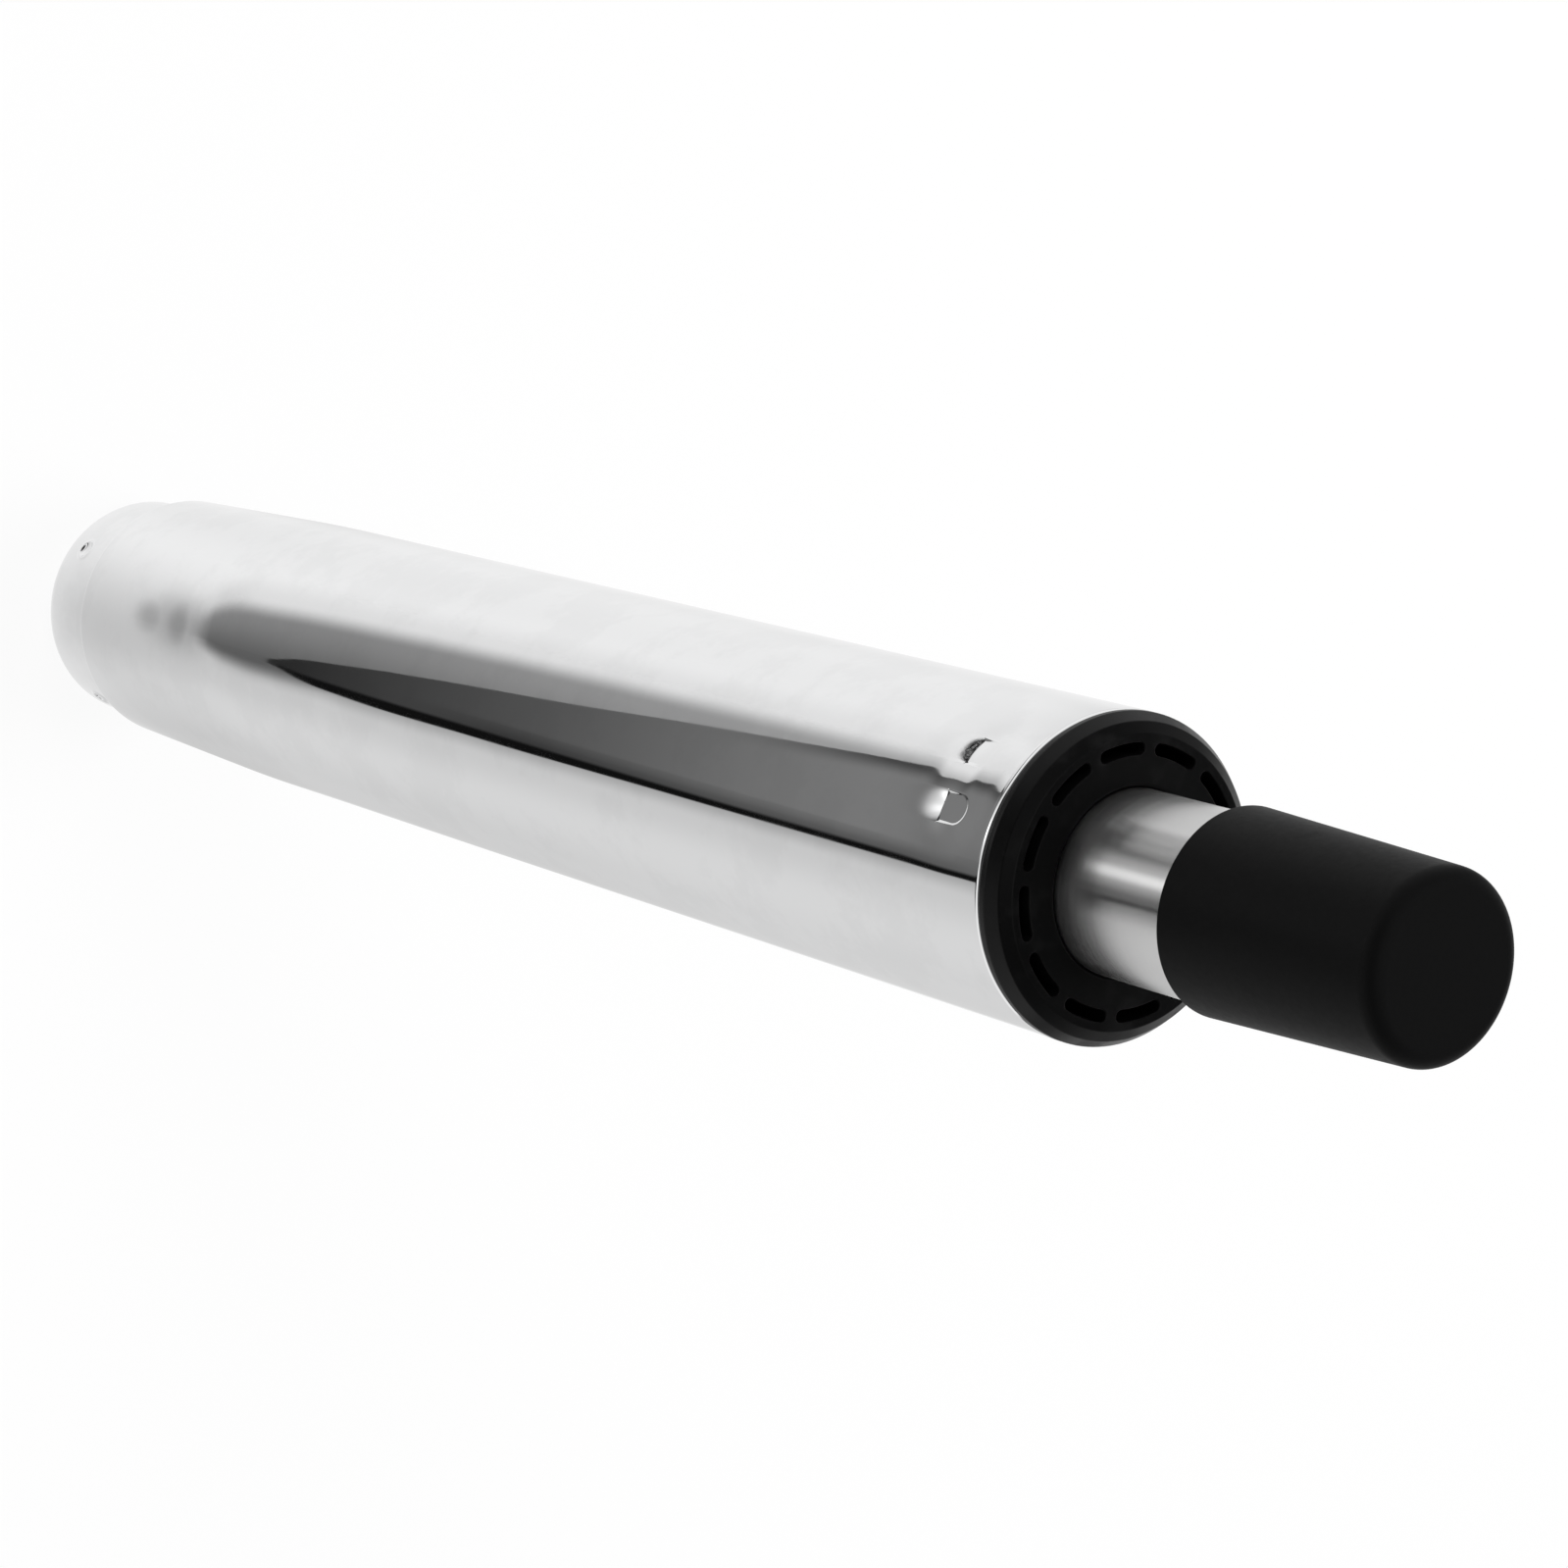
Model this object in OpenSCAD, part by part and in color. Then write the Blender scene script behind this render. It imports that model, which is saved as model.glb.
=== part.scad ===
// Chair gas lift cylinder: a taper-locked column with a sliding, turning gas spring.
// Millimetres, +Z up along the column's axis, origin at the centre of the lower rim.
// The spindle is drawn fully lowered.

/* [Column tube] */
// Outer diameter of the column tube
tube_d = 50; // [49:0.1:52]
// Wall of the column tube
tube_wall = 2; // [1.6:0.1:2.2]
// Length of the column tube, lower rim to upper rim
tube_len = 308; // [290:1:340]
// Chamfer on both edges of the upper rim
rim_chamfer = 0.4; // [0.2:0.05:0.6]
// Length of the locking taper that wedges in the chair's foot
taper_len = 52; // [40:1:60]
// Half angle of both locking cones, in degrees
cone_half_angle = 1.44; // [1:0.01:1.6]
// Height of the shoulder between the neck and the taper
shoulder_h = 3; // [2:0.1:5]
// Outer diameter of the drawn-in neck
neck_d = 43.3; // [42.6:0.1:44]
// Height of the neck above the lower rim
neck_h = 18.3; // [16:0.1:22]
// Outer fillet where the neck rolls into the foot lip
neck_fillet = 4.5; // [3.5:0.1:5]
// Opening inside the rolled foot lip
foot_lip_d = 31; // [29:0.1:32]

/* [Stake dents and crimps] */
// Width of a stake dent around the tube
dent_w = 4.6; // [3:0.1:6]
// Length of a stake dent along the tube
dent_len = 6.4; // [5:0.1:8]
// Depth of a stake dent at its sheared edge
dent_depth = 1.1; // [0.6:0.1:1.3]
// Distance from the upper rim down to the sheared edge
dent_drop = 12; // [10:0.1:16]
// Place of the first stake dent around the tube, in degrees
dent_angle = 267; // [0:1:359]
// Angle between the two dents of a pair
dent_pitch = 22; // [16:1:40]
// Number of dent pairs around the tube
dent_pairs = 2; // [1:1:3]
// Number of crimp marks around the neck
crimp_count = 4; // [3:1:6]
// Diameter of the punch ball that made the crimp marks
crimp_d = 3.2; // [2.4:0.1:4]
// Depth of a crimp mark
crimp_depth = 0.7; // [0.4:0.05:0.9]
// Height of the crimp marks above the lower rim
crimp_z = 9.9; // [9:0.1:12]
// Place of the first crimp mark around the neck, in degrees
crimp_angle = 254; // [0:1:359]

/* [Guide bush] */
// Thickness of the bush's lip where it lies on the tube's rim
lip_t = 0.7; // [0.4:0.1:1.5]
// How far the lip stays inside the tube's outer diameter
lip_inset = 0.05; // [0.02:0.01:0.5]
// Height of the flange's face above its lip
flange_h = 3.3; // [2:0.1:5]
// Diameter where the flange's outer bevel ends
bevel_d = 46.8; // [46.2:0.1:48]
// Height where the flange's outer bevel ends, above the lip
bevel_h = 1.7; // [0.8:0.1:1.9]
// Diameter of the flange's flat face
face_d = 44; // [43:0.1:45]
// Overall length of the bush below the tube's rim
bush_len = 104; // [90:1:115]
// Length of the upper collar below the tube's rim
collar_len = 32; // [26:1:40]
// Length of the lower collar
foot_collar_len = 12; // [8:1:20]
// Outer diameter of the ribbed core between the collars
core_d = 36; // [34:0.5:40]
// Number of ribs on the core
rib_count = 12; // [8:1:16]
// Thickness of a rib
rib_t = 2; // [1.5:0.1:3]
// Length of each of the two bearing lands in the bore
land_len = 20; // [12:1:30]
// Depth of the relief in the bore between the lands
relief = 0.7; // [0.3:0.1:1.2]
// Chamfer at both mouths of the bore
bore_chamfer = 0.5; // [0.2:0.1:0.8]
// Number of arc slots in the flange's face
slot_count = 12; // [8:1:12]
// Pitch diameter of the arc slots
slot_pcd = 39.6; // [38:0.1:40]
// Width of an arc slot
slot_w = 1.9; // [1:0.1:2.1]
// Angle that a slot covers, end to end, in degrees
slot_arc = 24.3; // [14:0.1:25]
// Depth of an arc slot
slot_depth = 20; // [4:1:22]

/* [Spindle] */
// Outer diameter of the spindle
spindle_d = 28; // [27.8:0.05:28.2]
// Wall of the spindle
spindle_wall = 1.75; // [1.6:0.05:1.8]
// Length of spindle above the column's rim when lowered
spindle_show = 58.2; // [54:0.1:72]
// Length of the cone that locks into the seat
spindle_cone_len = 30; // [27:1:36]
// Thickness of the closed top of the spindle
spindle_top_t = 2; // [1.5:0.1:3]
// Thickness of the lip rolled in at the spindle's lower end
spindle_lip_t = 1.5; // [1:0.1:2]
// Opening inside that rolled lip
spindle_lip_d = 19; // [16:0.5:21]
// Outer fillet at the spindle's lower end
spindle_fillet = 2.5; // [2:0.1:3]
// Chamfer on the spindle's top edge
spindle_chamfer = 0.8; // [0.3:0.1:1]

/* [Gas spring] */
// Stroke of the lift
stroke = 140; // [100:1:160]
// Diameter of the piston rod
rod_d = 10; // [9.6:0.1:10.4]
// Diameter of the rod's journal in the base plate
journal_d = 8; // [7.6:0.1:8.6]
// Diameter of the rod's upper spigot
spigot_d = 7; // [6:0.1:7.4]
// Length of the rod below its clip
rod_tail = 3; // [2:0.1:4]
// Outer diameter of the cylinder liner
liner_d = 22.4; // [22:0.1:23]
// Wall of the cylinder liner
liner_wall = 1.2; // [1:0.1:1.3]
// Thickness of the seal washer
seal_washer_t = 3; // [2:0.1:4]
// Height of the rod seal
seal_h = 8; // [6:0.1:10]
// Height of the rod guide's body
guide_h = 10; // [8:0.1:14]
// Height of the rod guide's spigot in the liner
guide_spigot_h = 4; // [3:0.1:6]
// Height of the piston
piston_h = 14; // [12:0.1:18]
// Diameter of the piston ring's cord
ring_cord = 2.4; // [2:0.1:2.6]
// Height of the piston nut
nut_h = 5; // [4:0.1:7]
// Width across the flats of the piston nut
nut_af = 13; // [11:0.5:15]
// Height of the rubber buffer
buffer_h = 10; // [8:0.1:14]
// Outer diameter of the rubber buffer
buffer_d = 21; // [18:0.5:24]

/* [Release valve] */
// Height of the valve body's head in the spindle's cone
valve_head_h = 24; // [23:0.1:27]
// Height of the valve body's spigot in the liner
valve_spigot_h = 8; // [6:0.1:10]
// Height of the relieved foot of the head, round the port
valve_foot_h = 3; // [2.6:0.1:3.4]
// Diameter of the port across the valve body
port_d = 2; // [1.4:0.1:2.2]
// Diameter of the cord of the two valve rings
valve_cord = 1.8; // [1.4:0.1:2]
// Diameter of the valve pin
pin_d = 5; // [4.6:0.1:5.2]
// Diameter of the valve pin's waist
pin_waist_d = 3.4; // [2.8:0.1:3.8]
// Diameter of the valve pin's sealing head
pin_head_d = 8.4; // [8:0.1:9]
// Height of the valve pin's sealing head
pin_head_h = 3.5; // [2.5:0.1:4.5]
// Diameter of the cord of the two pin rings
pin_cord = 1.2; // [1:0.1:1.4]
// Travel of the release button
press_travel = 4; // [3:0.1:4.5]
// Depth of the pocket for the button's collar
pocket_h = 10; // [9.5:0.1:11]
// Diameter of the button's collar
button_collar_d = 12.4; // [12:0.1:13]
// Diameter of the button's shank
button_d = 10.8; // [10:0.1:11]
// Height of the button above the spindle's top
button_show = 6; // [5:0.1:9]
// Chamfer round the button's top
button_chamfer = 1; // [0.5:0.1:1.5]

/* [Thrust bearing] */
// Diameter of a bearing ball
ball_d = 4; // [3.6:0.1:4.2]
// Number of bearing balls
ball_count = 10; // [8:1:11]
// Pitch diameter of the balls
ball_pcd = 18; // [17.6:0.1:18.8]
// Thickness of a race
race_t = 2; // [1.6:0.1:3]
// Outer diameter of the races
race_d = 26; // [25:0.1:27]
// Depth of a race's groove
groove_depth = 0.5; // [0.3:0.05:0.7]
// Thickness of the ball cage
cage_t = 1.9; // [1.5:0.1:2.1]
// Width of the ball cage, from its bore to its edge
cage_w = 5.8; // [5.2:0.1:6]

/* [Base plate and clip] */
// Thickness of the pressed base plate
plate_t = 2.2; // [1.8:0.1:2.4]
// Height of the base plate's cup
cup_h = 11.5; // [10.5:0.1:13]
// Outer diameter of the base plate's cup
cup_d = 28; // [27.5:0.1:29]
// Thickness of the clip washer
washer_t = 1.5; // [1:0.1:1.8]
// Outer diameter of the clip washer
washer_d = 17; // [15:0.5:19]
// Thickness of the retaining clip
clip_t = 1.2; // [1:0.1:1.5]
// Outer diameter of the retaining clip
clip_d = 14; // [13:0.5:16]
// Width of the retaining clip's rim
clip_rim = 2.2; // [1.6:0.1:2.4]
// Depth of the clip's groove in the rod
clip_groove = 0.8; // [0.5:0.05:1]

/* [Protective cap] */
// Length of the cap
cap_len = 41.2; // [38:0.1:46]
// Outer diameter at the cap's mouth
cap_mouth_d = 31.1; // [30.6:0.1:33]
// Outer diameter at the cap's top
cap_top_d = 28; // [27.8:0.1:30]
// Room between the cap and the button's top, so that a knock on the cap doesn't press it
cap_head_gap = 2.6; // [2:0.1:4]
// Thickness of the cap's closed top
cap_top_t = 1.8; // [1.4:0.1:3]
// Fillet round the cap's top
cap_fillet = 2.6; // [2:0.1:3]

/* [Fits] */
// Radial gap of what slides or turns
run_gap = 0.1; // [0.05:0.01:0.12]
// Radial gap of what is seated
seat_gap = 0.05; // [0.02:0.01:0.08]
// Gap between ends that must not touch
end_gap = 0.3; // [0.2:0.05:0.4]

/* [Hidden] */
$fn = 96;
arc_steps = 8;
cut = 1;

// Column tube
tube_r = tube_d / 2;
tube_in_r = tube_r - tube_wall;
neck_r = neck_d / 2;
neck_in_r = neck_r - tube_wall;
neck_turn_r = neck_r - neck_fillet;
taper_z = neck_h + shoulder_h;
taper_top_z = taper_z + taper_len;
taper_low_r = tube_r - taper_len * tan(cone_half_angle);
dent_z = tube_len - dent_drop;
dent_tilt = atan(dent_depth / dent_len);
crimp_r = crimp_d / 2;

// Base plate and clip
plate_z = tube_wall;
plate_r = neck_in_r - seat_gap;
plate_bend = neck_fillet - tube_wall - seat_gap;
skirt_top_z = crimp_z - crimp_r - end_gap;
cup_top_z = plate_z + cup_h;
cup_r = cup_d / 2;
journal_r = journal_d / 2;
washer_z = cup_top_z - plate_t - end_gap - washer_t;
clip_z = washer_z - clip_t;
clip_in_r = journal_r - clip_groove + seat_gap;
rod_low_z = clip_z - rod_tail;

// Thrust bearing
ball_r = ball_d / 2;
groove_r = ball_r + run_gap;
ball_rise = groove_r - groove_depth;
lower_race_top_z = cup_top_z + race_t;
ball_z = lower_race_top_z + ball_rise;
upper_race_z = ball_z + ball_rise;
bearing_top_z = upper_race_z + race_t;

// Gas spring, from the buffer up
rod_r = rod_d / 2;
spindle_r = spindle_d / 2;
spindle_in_r = spindle_r - spindle_wall;
spindle_z = bearing_top_z + buffer_h + end_gap;
spindle_top_z = tube_len + spindle_show;
spindle_cone_z = spindle_top_z - spindle_cone_len;
spindle_seat_r = spindle_in_r - seat_gap;
washer_seat_z = spindle_z + spindle_lip_t;
seal_z = washer_seat_z + seal_washer_t;
guide_z = seal_z + seal_h;
liner_z = guide_z + guide_h;
guide_top_z = liner_z + guide_spigot_h;
liner_r = liner_d / 2;
liner_in_r = liner_r - liner_wall;
piston_z = guide_top_z + stroke + end_gap;
piston_top_z = piston_z + piston_h;
rod_top_z = piston_top_z + nut_h;

// Release valve, from the spindle's top down
valve_top_z = spindle_top_z - spindle_top_t;
valve_z = valve_top_z - valve_head_h;
valve_low_z = valve_z - valve_spigot_h;
valve_foot_z = valve_z + valve_foot_h;
port_z = valve_z + valve_foot_h / 2;
pocket_z = valve_top_z - pocket_h;
pin_r = pin_d / 2;
pin_ring_r = pin_r + seat_gap + pin_cord / 2;
pin_ring_zs = [valve_z - valve_spigot_h / 4, pocket_z - pin_cord * 2];
valve_ring_zs = [valve_foot_z + valve_cord * 1.5, pocket_z + valve_cord];
waist_low_z = valve_low_z - end_gap;
waist_top_z = port_z + port_d;
button_z = pocket_z + press_travel + end_gap;
button_top_z = spindle_top_z + button_show;
button_r = button_d / 2;
button_collar_r = button_collar_d / 2;

// Cap and bush
cap_top_z = button_top_z + cap_head_gap + cap_top_t;
cap_z = cap_top_z - cap_len;
bush_low_z = tube_len - bush_len;
lip_top_z = tube_len + lip_t;
face_z = lip_top_z + flange_h;
bush_bore_r = spindle_r + run_gap;
collar_r = tube_in_r - seat_gap;
stake_groove_r = tube_in_r - dent_depth - end_gap;
core_r = core_d / 2;

// Points of an arc about c, from angle a0 to a1
function arc(c, r, a0, a1) = [
    for (i = [0 : arc_steps])
        let (a = a0 + (a1 - a0) * i / arc_steps)
        [c[0] + r * cos(a), c[1] + r * sin(a)]
];

// Points of a smooth step from p to q, level at both ends
function step_curve(p, q) = [
    for (i = [0 : arc_steps])
        let (t = i / arc_steps)
        [p[0] + (q[0] - p[0]) * (1 - cos(180 * t)) / 2, p[1] + (q[1] - p[1]) * t]
];

// The same points in the other order
function reversed(points) = [for (i = [len(points) - 1 : -1 : 0]) points[i]];

// Radius of the spindle's outside at height z
function spindle_outer(z) = spindle_r - max(0, z - spindle_cone_z) * tan(cone_half_angle);

// A ring of the given radii between two heights
module ring(outer, inner, z0, z1) {
    rotate_extrude()
        translate([inner, z0])
            square([outer - inner, z1 - z0]);
}

// A round-section ring
module cord_ring(centre_r, cord, z) {
    translate([0, 0, z])
        rotate_extrude()
            translate([centre_r, 0])
                circle(d = cord, $fn = 48);
}

// Copies of the children around the axis
module around(count, start = 0) {
    for (i = [0 : count - 1])
        rotate([0, 0, start + i * 360 / count])
            children();
}

// One stake dent's outline pushed along the radius, its floor at radius r
module stake(r, h) {
    round_r = dent_w / 2;
    translate([r, 0, dent_z])
        rotate([0, dent_tilt, 0])
            rotate([90, 0, 90])
                linear_extrude(h) {
                    translate([-round_r, 0])
                        square([dent_w, dent_len - round_r]);
                    translate([0, dent_len - round_r])
                        circle(round_r, $fn = 48);
                }
}

// The children at every stake dent
module at_dents() {
    around(dent_pairs, dent_angle) {
        children();
        rotate([0, 0, -dent_pitch])
            children();
    }
}

// A crimp mark's ball, pressed in from a wall at radius r
module crimp_ball(r) {
    translate([r + crimp_r - crimp_depth, 0, crimp_z])
        sphere(crimp_r, $fn = 48);
}

// Drawn and rolled tube, with the lanced dents and crimps that hold its inner pieces
module outer_tube() {
    turn = [neck_turn_r, neck_fillet];
    profile = concat(
        [[foot_lip_d / 2, 0]],
        arc(turn, neck_fillet, -90, 0),
        step_curve([neck_r, neck_h], [taper_low_r, taper_z]),
        [[tube_r, taper_top_z], [tube_r, tube_len - rim_chamfer], [tube_r - rim_chamfer, tube_len]],
        [[tube_in_r + rim_chamfer, tube_len], [tube_in_r, tube_len - rim_chamfer]],
        [[tube_in_r, taper_top_z]],
        reversed(step_curve([neck_in_r, neck_h], [taper_low_r - tube_wall, taper_z])),
        arc(turn, neck_fillet - tube_wall, 0, -90),
        [[foot_lip_d / 2, tube_wall]]
    );
    bulge_h = dent_depth + tube_wall / 4;
    color("silver") {
        difference() {
            rotate_extrude() polygon(profile);
            at_dents() stake(tube_r - dent_depth, dent_len);
            around(crimp_count, crimp_angle) crimp_ball(neck_r);
        }
        at_dents() stake(tube_in_r - dent_depth, bulge_h);
        intersection() {
            around(crimp_count, crimp_angle) crimp_ball(neck_in_r);
            cylinder(r = neck_in_r + tube_wall / 4, h = neck_h);
        }
    }
}

// One arc slot of the flange, round at both ends
module arc_slot() {
    half_w = slot_w / 2;
    pitch_r = slot_pcd / 2;
    end_angle = slot_arc / 2 - asin(half_w / pitch_r);
    slot_z = face_z - slot_depth;
    rotate([0, 0, -end_angle])
        translate([0, 0, slot_z])
            rotate_extrude(angle = 2 * end_angle)
                translate([pitch_r - half_w, 0])
                    square([slot_w, slot_depth + cut]);
    for (side = [-1, 1])
        rotate([0, 0, side * end_angle])
            translate([pitch_r, 0, slot_z])
                cylinder(r = half_w, h = slot_depth + cut, $fn = 32);
}

// Bush with a domed, slotted flange, a staked collar and a ribbed core
module guide_bush() {
    foot_z = bush_low_z + foot_collar_len;
    collar_z = tube_len - collar_len;
    relief_r = bush_bore_r + relief;
    mouth_r = bush_bore_r + bore_chamfer;
    groove_low_z = dent_z - end_gap;
    groove_top_z = dent_z + dent_len + end_gap;
    profile = [
        [mouth_r, bush_low_z],
        [collar_r, bush_low_z], [collar_r, foot_z], [core_r, foot_z], [core_r, collar_z],
        [collar_r, collar_z], [collar_r, groove_low_z], [stake_groove_r, groove_low_z],
        [stake_groove_r, groove_top_z], [collar_r, groove_top_z], [collar_r, tube_len],
        [tube_r - lip_inset, tube_len], [tube_r - lip_inset, lip_top_z],
        [bevel_d / 2, lip_top_z + bevel_h], [face_d / 2, face_z],
        [mouth_r, face_z], [bush_bore_r, face_z - bore_chamfer],
        [bush_bore_r, face_z - land_len], [relief_r, face_z - land_len - relief],
        [relief_r, bush_low_z + land_len + relief], [bush_bore_r, bush_low_z + land_len],
        [bush_bore_r, bush_low_z + bore_chamfer]
    ];
    rib_in_r = core_r - rib_t / 2;
    rib_w = collar_r - end_gap - rib_in_r;
    color("#1b1b1c") {
        difference() {
            rotate_extrude() polygon(profile);
            around(slot_count) arc_slot();
        }
        around(rib_count)
            translate([rib_in_r, -rib_t / 2, foot_z - cut])
                cube([rib_w, rib_t, collar_z - foot_z + 2 * cut]);
    }
}

// Pressed cup that carries the bearing, held between the foot lip and the crimps
module base_plate() {
    bend = [plate_r - plate_bend, plate_z + plate_bend];
    profile = concat(
        [[journal_r + run_gap, cup_top_z - plate_t], [cup_r - plate_t, cup_top_z - plate_t]],
        [[cup_r - plate_t, plate_z]],
        arc(bend, plate_bend, -90, 0),
        [[plate_r, skirt_top_z], [plate_r - plate_t, skirt_top_z]],
        [[plate_r - plate_t, plate_z + plate_t], [cup_r, plate_z + plate_t]],
        [[cup_r, cup_top_z], [journal_r + run_gap, cup_top_z]]
    );
    color("#8d8a80")
        rotate_extrude() polygon(profile);
}

// A race washer with its ball groove in the face at groove_z
module race(inner_r, z, groove_z) {
    difference() {
        ring(race_d / 2, inner_r, z, z + race_t);
        cord_ring(ball_pcd / 2, 2 * groove_r, groove_z);
    }
}

module lower_race() {
    color("#a9adb0") race(journal_r + end_gap, cup_top_z, ball_z);
}

module upper_race() {
    color("#a9adb0") race(journal_r + seat_gap, upper_race_z, ball_z);
}

module ball_cage() {
    color("#b08d3c")
        difference() {
            ring((ball_pcd + cage_w) / 2, (ball_pcd - cage_w) / 2, ball_z - cage_t / 2, ball_z + cage_t / 2);
            around(ball_count)
                translate([ball_pcd / 2, 0, ball_z - cage_t])
                    cylinder(r = ball_r + run_gap, h = 2 * cage_t, $fn = 48);
        }
}

module bearing_balls() {
    color("#c9ccd0")
        around(ball_count)
            translate([ball_pcd / 2, 0, ball_z])
                sphere(ball_r, $fn = 48);
}

// Rod with its journal and clip groove below, and the piston's spigot above
module piston_rod() {
    tail_chamfer = clip_groove;
    groove_bottom_r = journal_r - clip_groove;
    profile = [
        [0, rod_low_z], [journal_r - tail_chamfer, rod_low_z], [journal_r, rod_low_z + tail_chamfer],
        [journal_r, clip_z], [groove_bottom_r, clip_z], [groove_bottom_r, clip_z + clip_t],
        [journal_r, clip_z + clip_t], [journal_r, bearing_top_z], [rod_r, bearing_top_z],
        [rod_r, piston_z], [spigot_d / 2, piston_z], [spigot_d / 2, rod_top_z], [0, rod_top_z]
    ];
    color("#d3d6d8")
        rotate_extrude() polygon(profile);
}

module clip_washer() {
    color("#b9b4a4") ring(washer_d / 2, journal_r + seat_gap, washer_z, washer_z + washer_t);
}

// Snap clip with three inner lugs and an open mouth
module retaining_clip() {
    rim_in_r = clip_d / 2 - clip_rim;
    lug_w = clip_in_r;
    mouth_w = 2 * rim_in_r - clip_rim;
    color("#4b4a48")
        translate([0, 0, clip_z])
            linear_extrude(clip_t)
                difference() {
                    circle(d = clip_d);
                    difference() {
                        circle(rim_in_r);
                        for (a = [0, 90, 180])
                            rotate(a)
                                translate([0, -lug_w / 2])
                                    square([clip_d, lug_w]);
                    }
                    circle(clip_in_r);
                    translate([-mouth_w / 2, -clip_d])
                        square([mouth_w, clip_d]);
                }
}

// Waisted bump stop round the rod
module rubber_buffer() {
    inner = rod_r + seat_gap;
    outer = buffer_d / 2;
    waist = (outer - inner) / 5;
    top_z = bearing_top_z + buffer_h;
    mid_z = bearing_top_z + buffer_h / 2;
    profile = concat(
        [[inner, bearing_top_z]],
        step_curve([outer, bearing_top_z], [outer - waist, mid_z]),
        step_curve([outer - waist, mid_z], [outer, top_z]),
        [[inner, top_z]]
    );
    color("#2b2b2b")
        rotate_extrude() polygon(profile);
}

// Piston with a ring groove and a flow gap past its upper land
module piston() {
    outer = liner_in_r - run_gap;
    groove_z = piston_z + piston_h / 2;
    color("#c8a24a")
        difference() {
            ring(outer, spigot_d / 2 + seat_gap, piston_z, piston_top_z);
            ring(outer + cut, outer - ring_cord - seat_gap, groove_z - ring_cord / 2, groove_z + ring_cord / 2);
        }
}

module piston_ring() {
    color("#202020")
        cord_ring(liner_in_r - run_gap - ring_cord / 2, ring_cord - seat_gap, piston_z + piston_h / 2);
}

module piston_nut() {
    color("#9a9da0")
        difference() {
            translate([0, 0, piston_top_z])
                cylinder(d = nut_af / cos(30), h = nut_h, $fn = 6);
            translate([0, 0, piston_top_z - cut])
                cylinder(d = spigot_d + 2 * seat_gap, h = nut_h + 2 * cut);
        }
}

// Pressure tube: rolled in below, coned and closed above, with the button's hole
module spindle() {
    turn = [spindle_r - spindle_fillet, spindle_z + spindle_fillet];
    top_r = spindle_outer(spindle_top_z);
    hole_r = button_r + run_gap;
    chamfer_z = spindle_top_z - spindle_chamfer;
    profile = concat(
        [[spindle_lip_d / 2, spindle_z]],
        arc(turn, spindle_fillet, -90, 0),
        [[spindle_r, spindle_cone_z], [spindle_outer(chamfer_z), chamfer_z]],
        [[top_r - spindle_chamfer, spindle_top_z], [hole_r, spindle_top_z], [hole_r, valve_top_z]],
        [[spindle_outer(valve_top_z) - spindle_wall, valve_top_z], [spindle_in_r, spindle_cone_z]],
        [[spindle_in_r, washer_seat_z], [spindle_lip_d / 2, washer_seat_z]]
    );
    color("#b7b9ba")
        rotate_extrude() polygon(profile);
}

module cylinder_liner() {
    color("#9fa3a6") ring(liner_r, liner_in_r, liner_z, valve_z);
}

module seal_washer() {
    color("#a7a49a") ring(spindle_seat_r, rod_r + run_gap, washer_seat_z, seal_z);
}

// Lip seal with a groove in its upper face
module rod_seal() {
    mid_r = (spindle_seat_r + rod_r) / 2;
    color("#3a2f24")
        difference() {
            ring(spindle_seat_r, rod_r + seat_gap, seal_z, guide_z);
            cord_ring(mid_r, seal_h / 2, guide_z);
        }
}

// Stepped guide: its spigot centres the liner
module rod_guide() {
    profile = [
        [rod_r + run_gap, guide_z], [spindle_seat_r, guide_z], [spindle_seat_r, liner_z],
        [liner_in_r - seat_gap, liner_z], [liner_in_r - seat_gap, guide_top_z],
        [rod_r + run_gap, guide_top_z]
    ];
    color("#c2c5c7")
        rotate_extrude() polygon(profile);
}

// Radius of the valve head at height z, just inside the spindle's cone
function head_r(z) = spindle_outer(z) - spindle_wall - seat_gap;

// Valve housing: spigot in the liner, relieved foot with a port, head in the cone
module valve_body() {
    bore_r = pin_r + run_gap;
    pocket_r = button_collar_r + run_gap;
    ring_slot = valve_cord + seat_gap;
    profile = [
        [bore_r, valve_low_z], [liner_in_r - seat_gap, valve_low_z], [liner_in_r - seat_gap, valve_z],
        [liner_r, valve_z], [liner_r, valve_foot_z], [head_r(valve_foot_z), valve_foot_z],
        [head_r(valve_top_z), valve_top_z], [pocket_r, valve_top_z], [pocket_r, pocket_z],
        [bore_r, pocket_z]
    ];
    color("#c8a24a")
        difference() {
            rotate_extrude() polygon(profile);
            for (z = valve_ring_zs)
                ring(spindle_r, head_r(z) - ring_slot - seat_gap, z - ring_slot / 2, z + ring_slot / 2);
            for (z = pin_ring_zs)
                ring(pin_ring_r + pin_cord / 2 + seat_gap, pin_r, z - pin_cord / 2 - seat_gap, z + pin_cord / 2 + seat_gap);
            translate([0, 0, port_z])
                rotate([0, 90, 0])
                    cylinder(d = port_d, h = 2 * spindle_r, center = true, $fn = 32);
        }
}

module valve_rings() {
    color("#1f1f1f")
        for (z = valve_ring_zs)
            cord_ring(head_r(z) - valve_cord / 2 - seat_gap, valve_cord, z);
}

module pin_rings() {
    color("#1f1f1f")
        for (z = pin_ring_zs)
            cord_ring(pin_ring_r, pin_cord, z);
}

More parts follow.
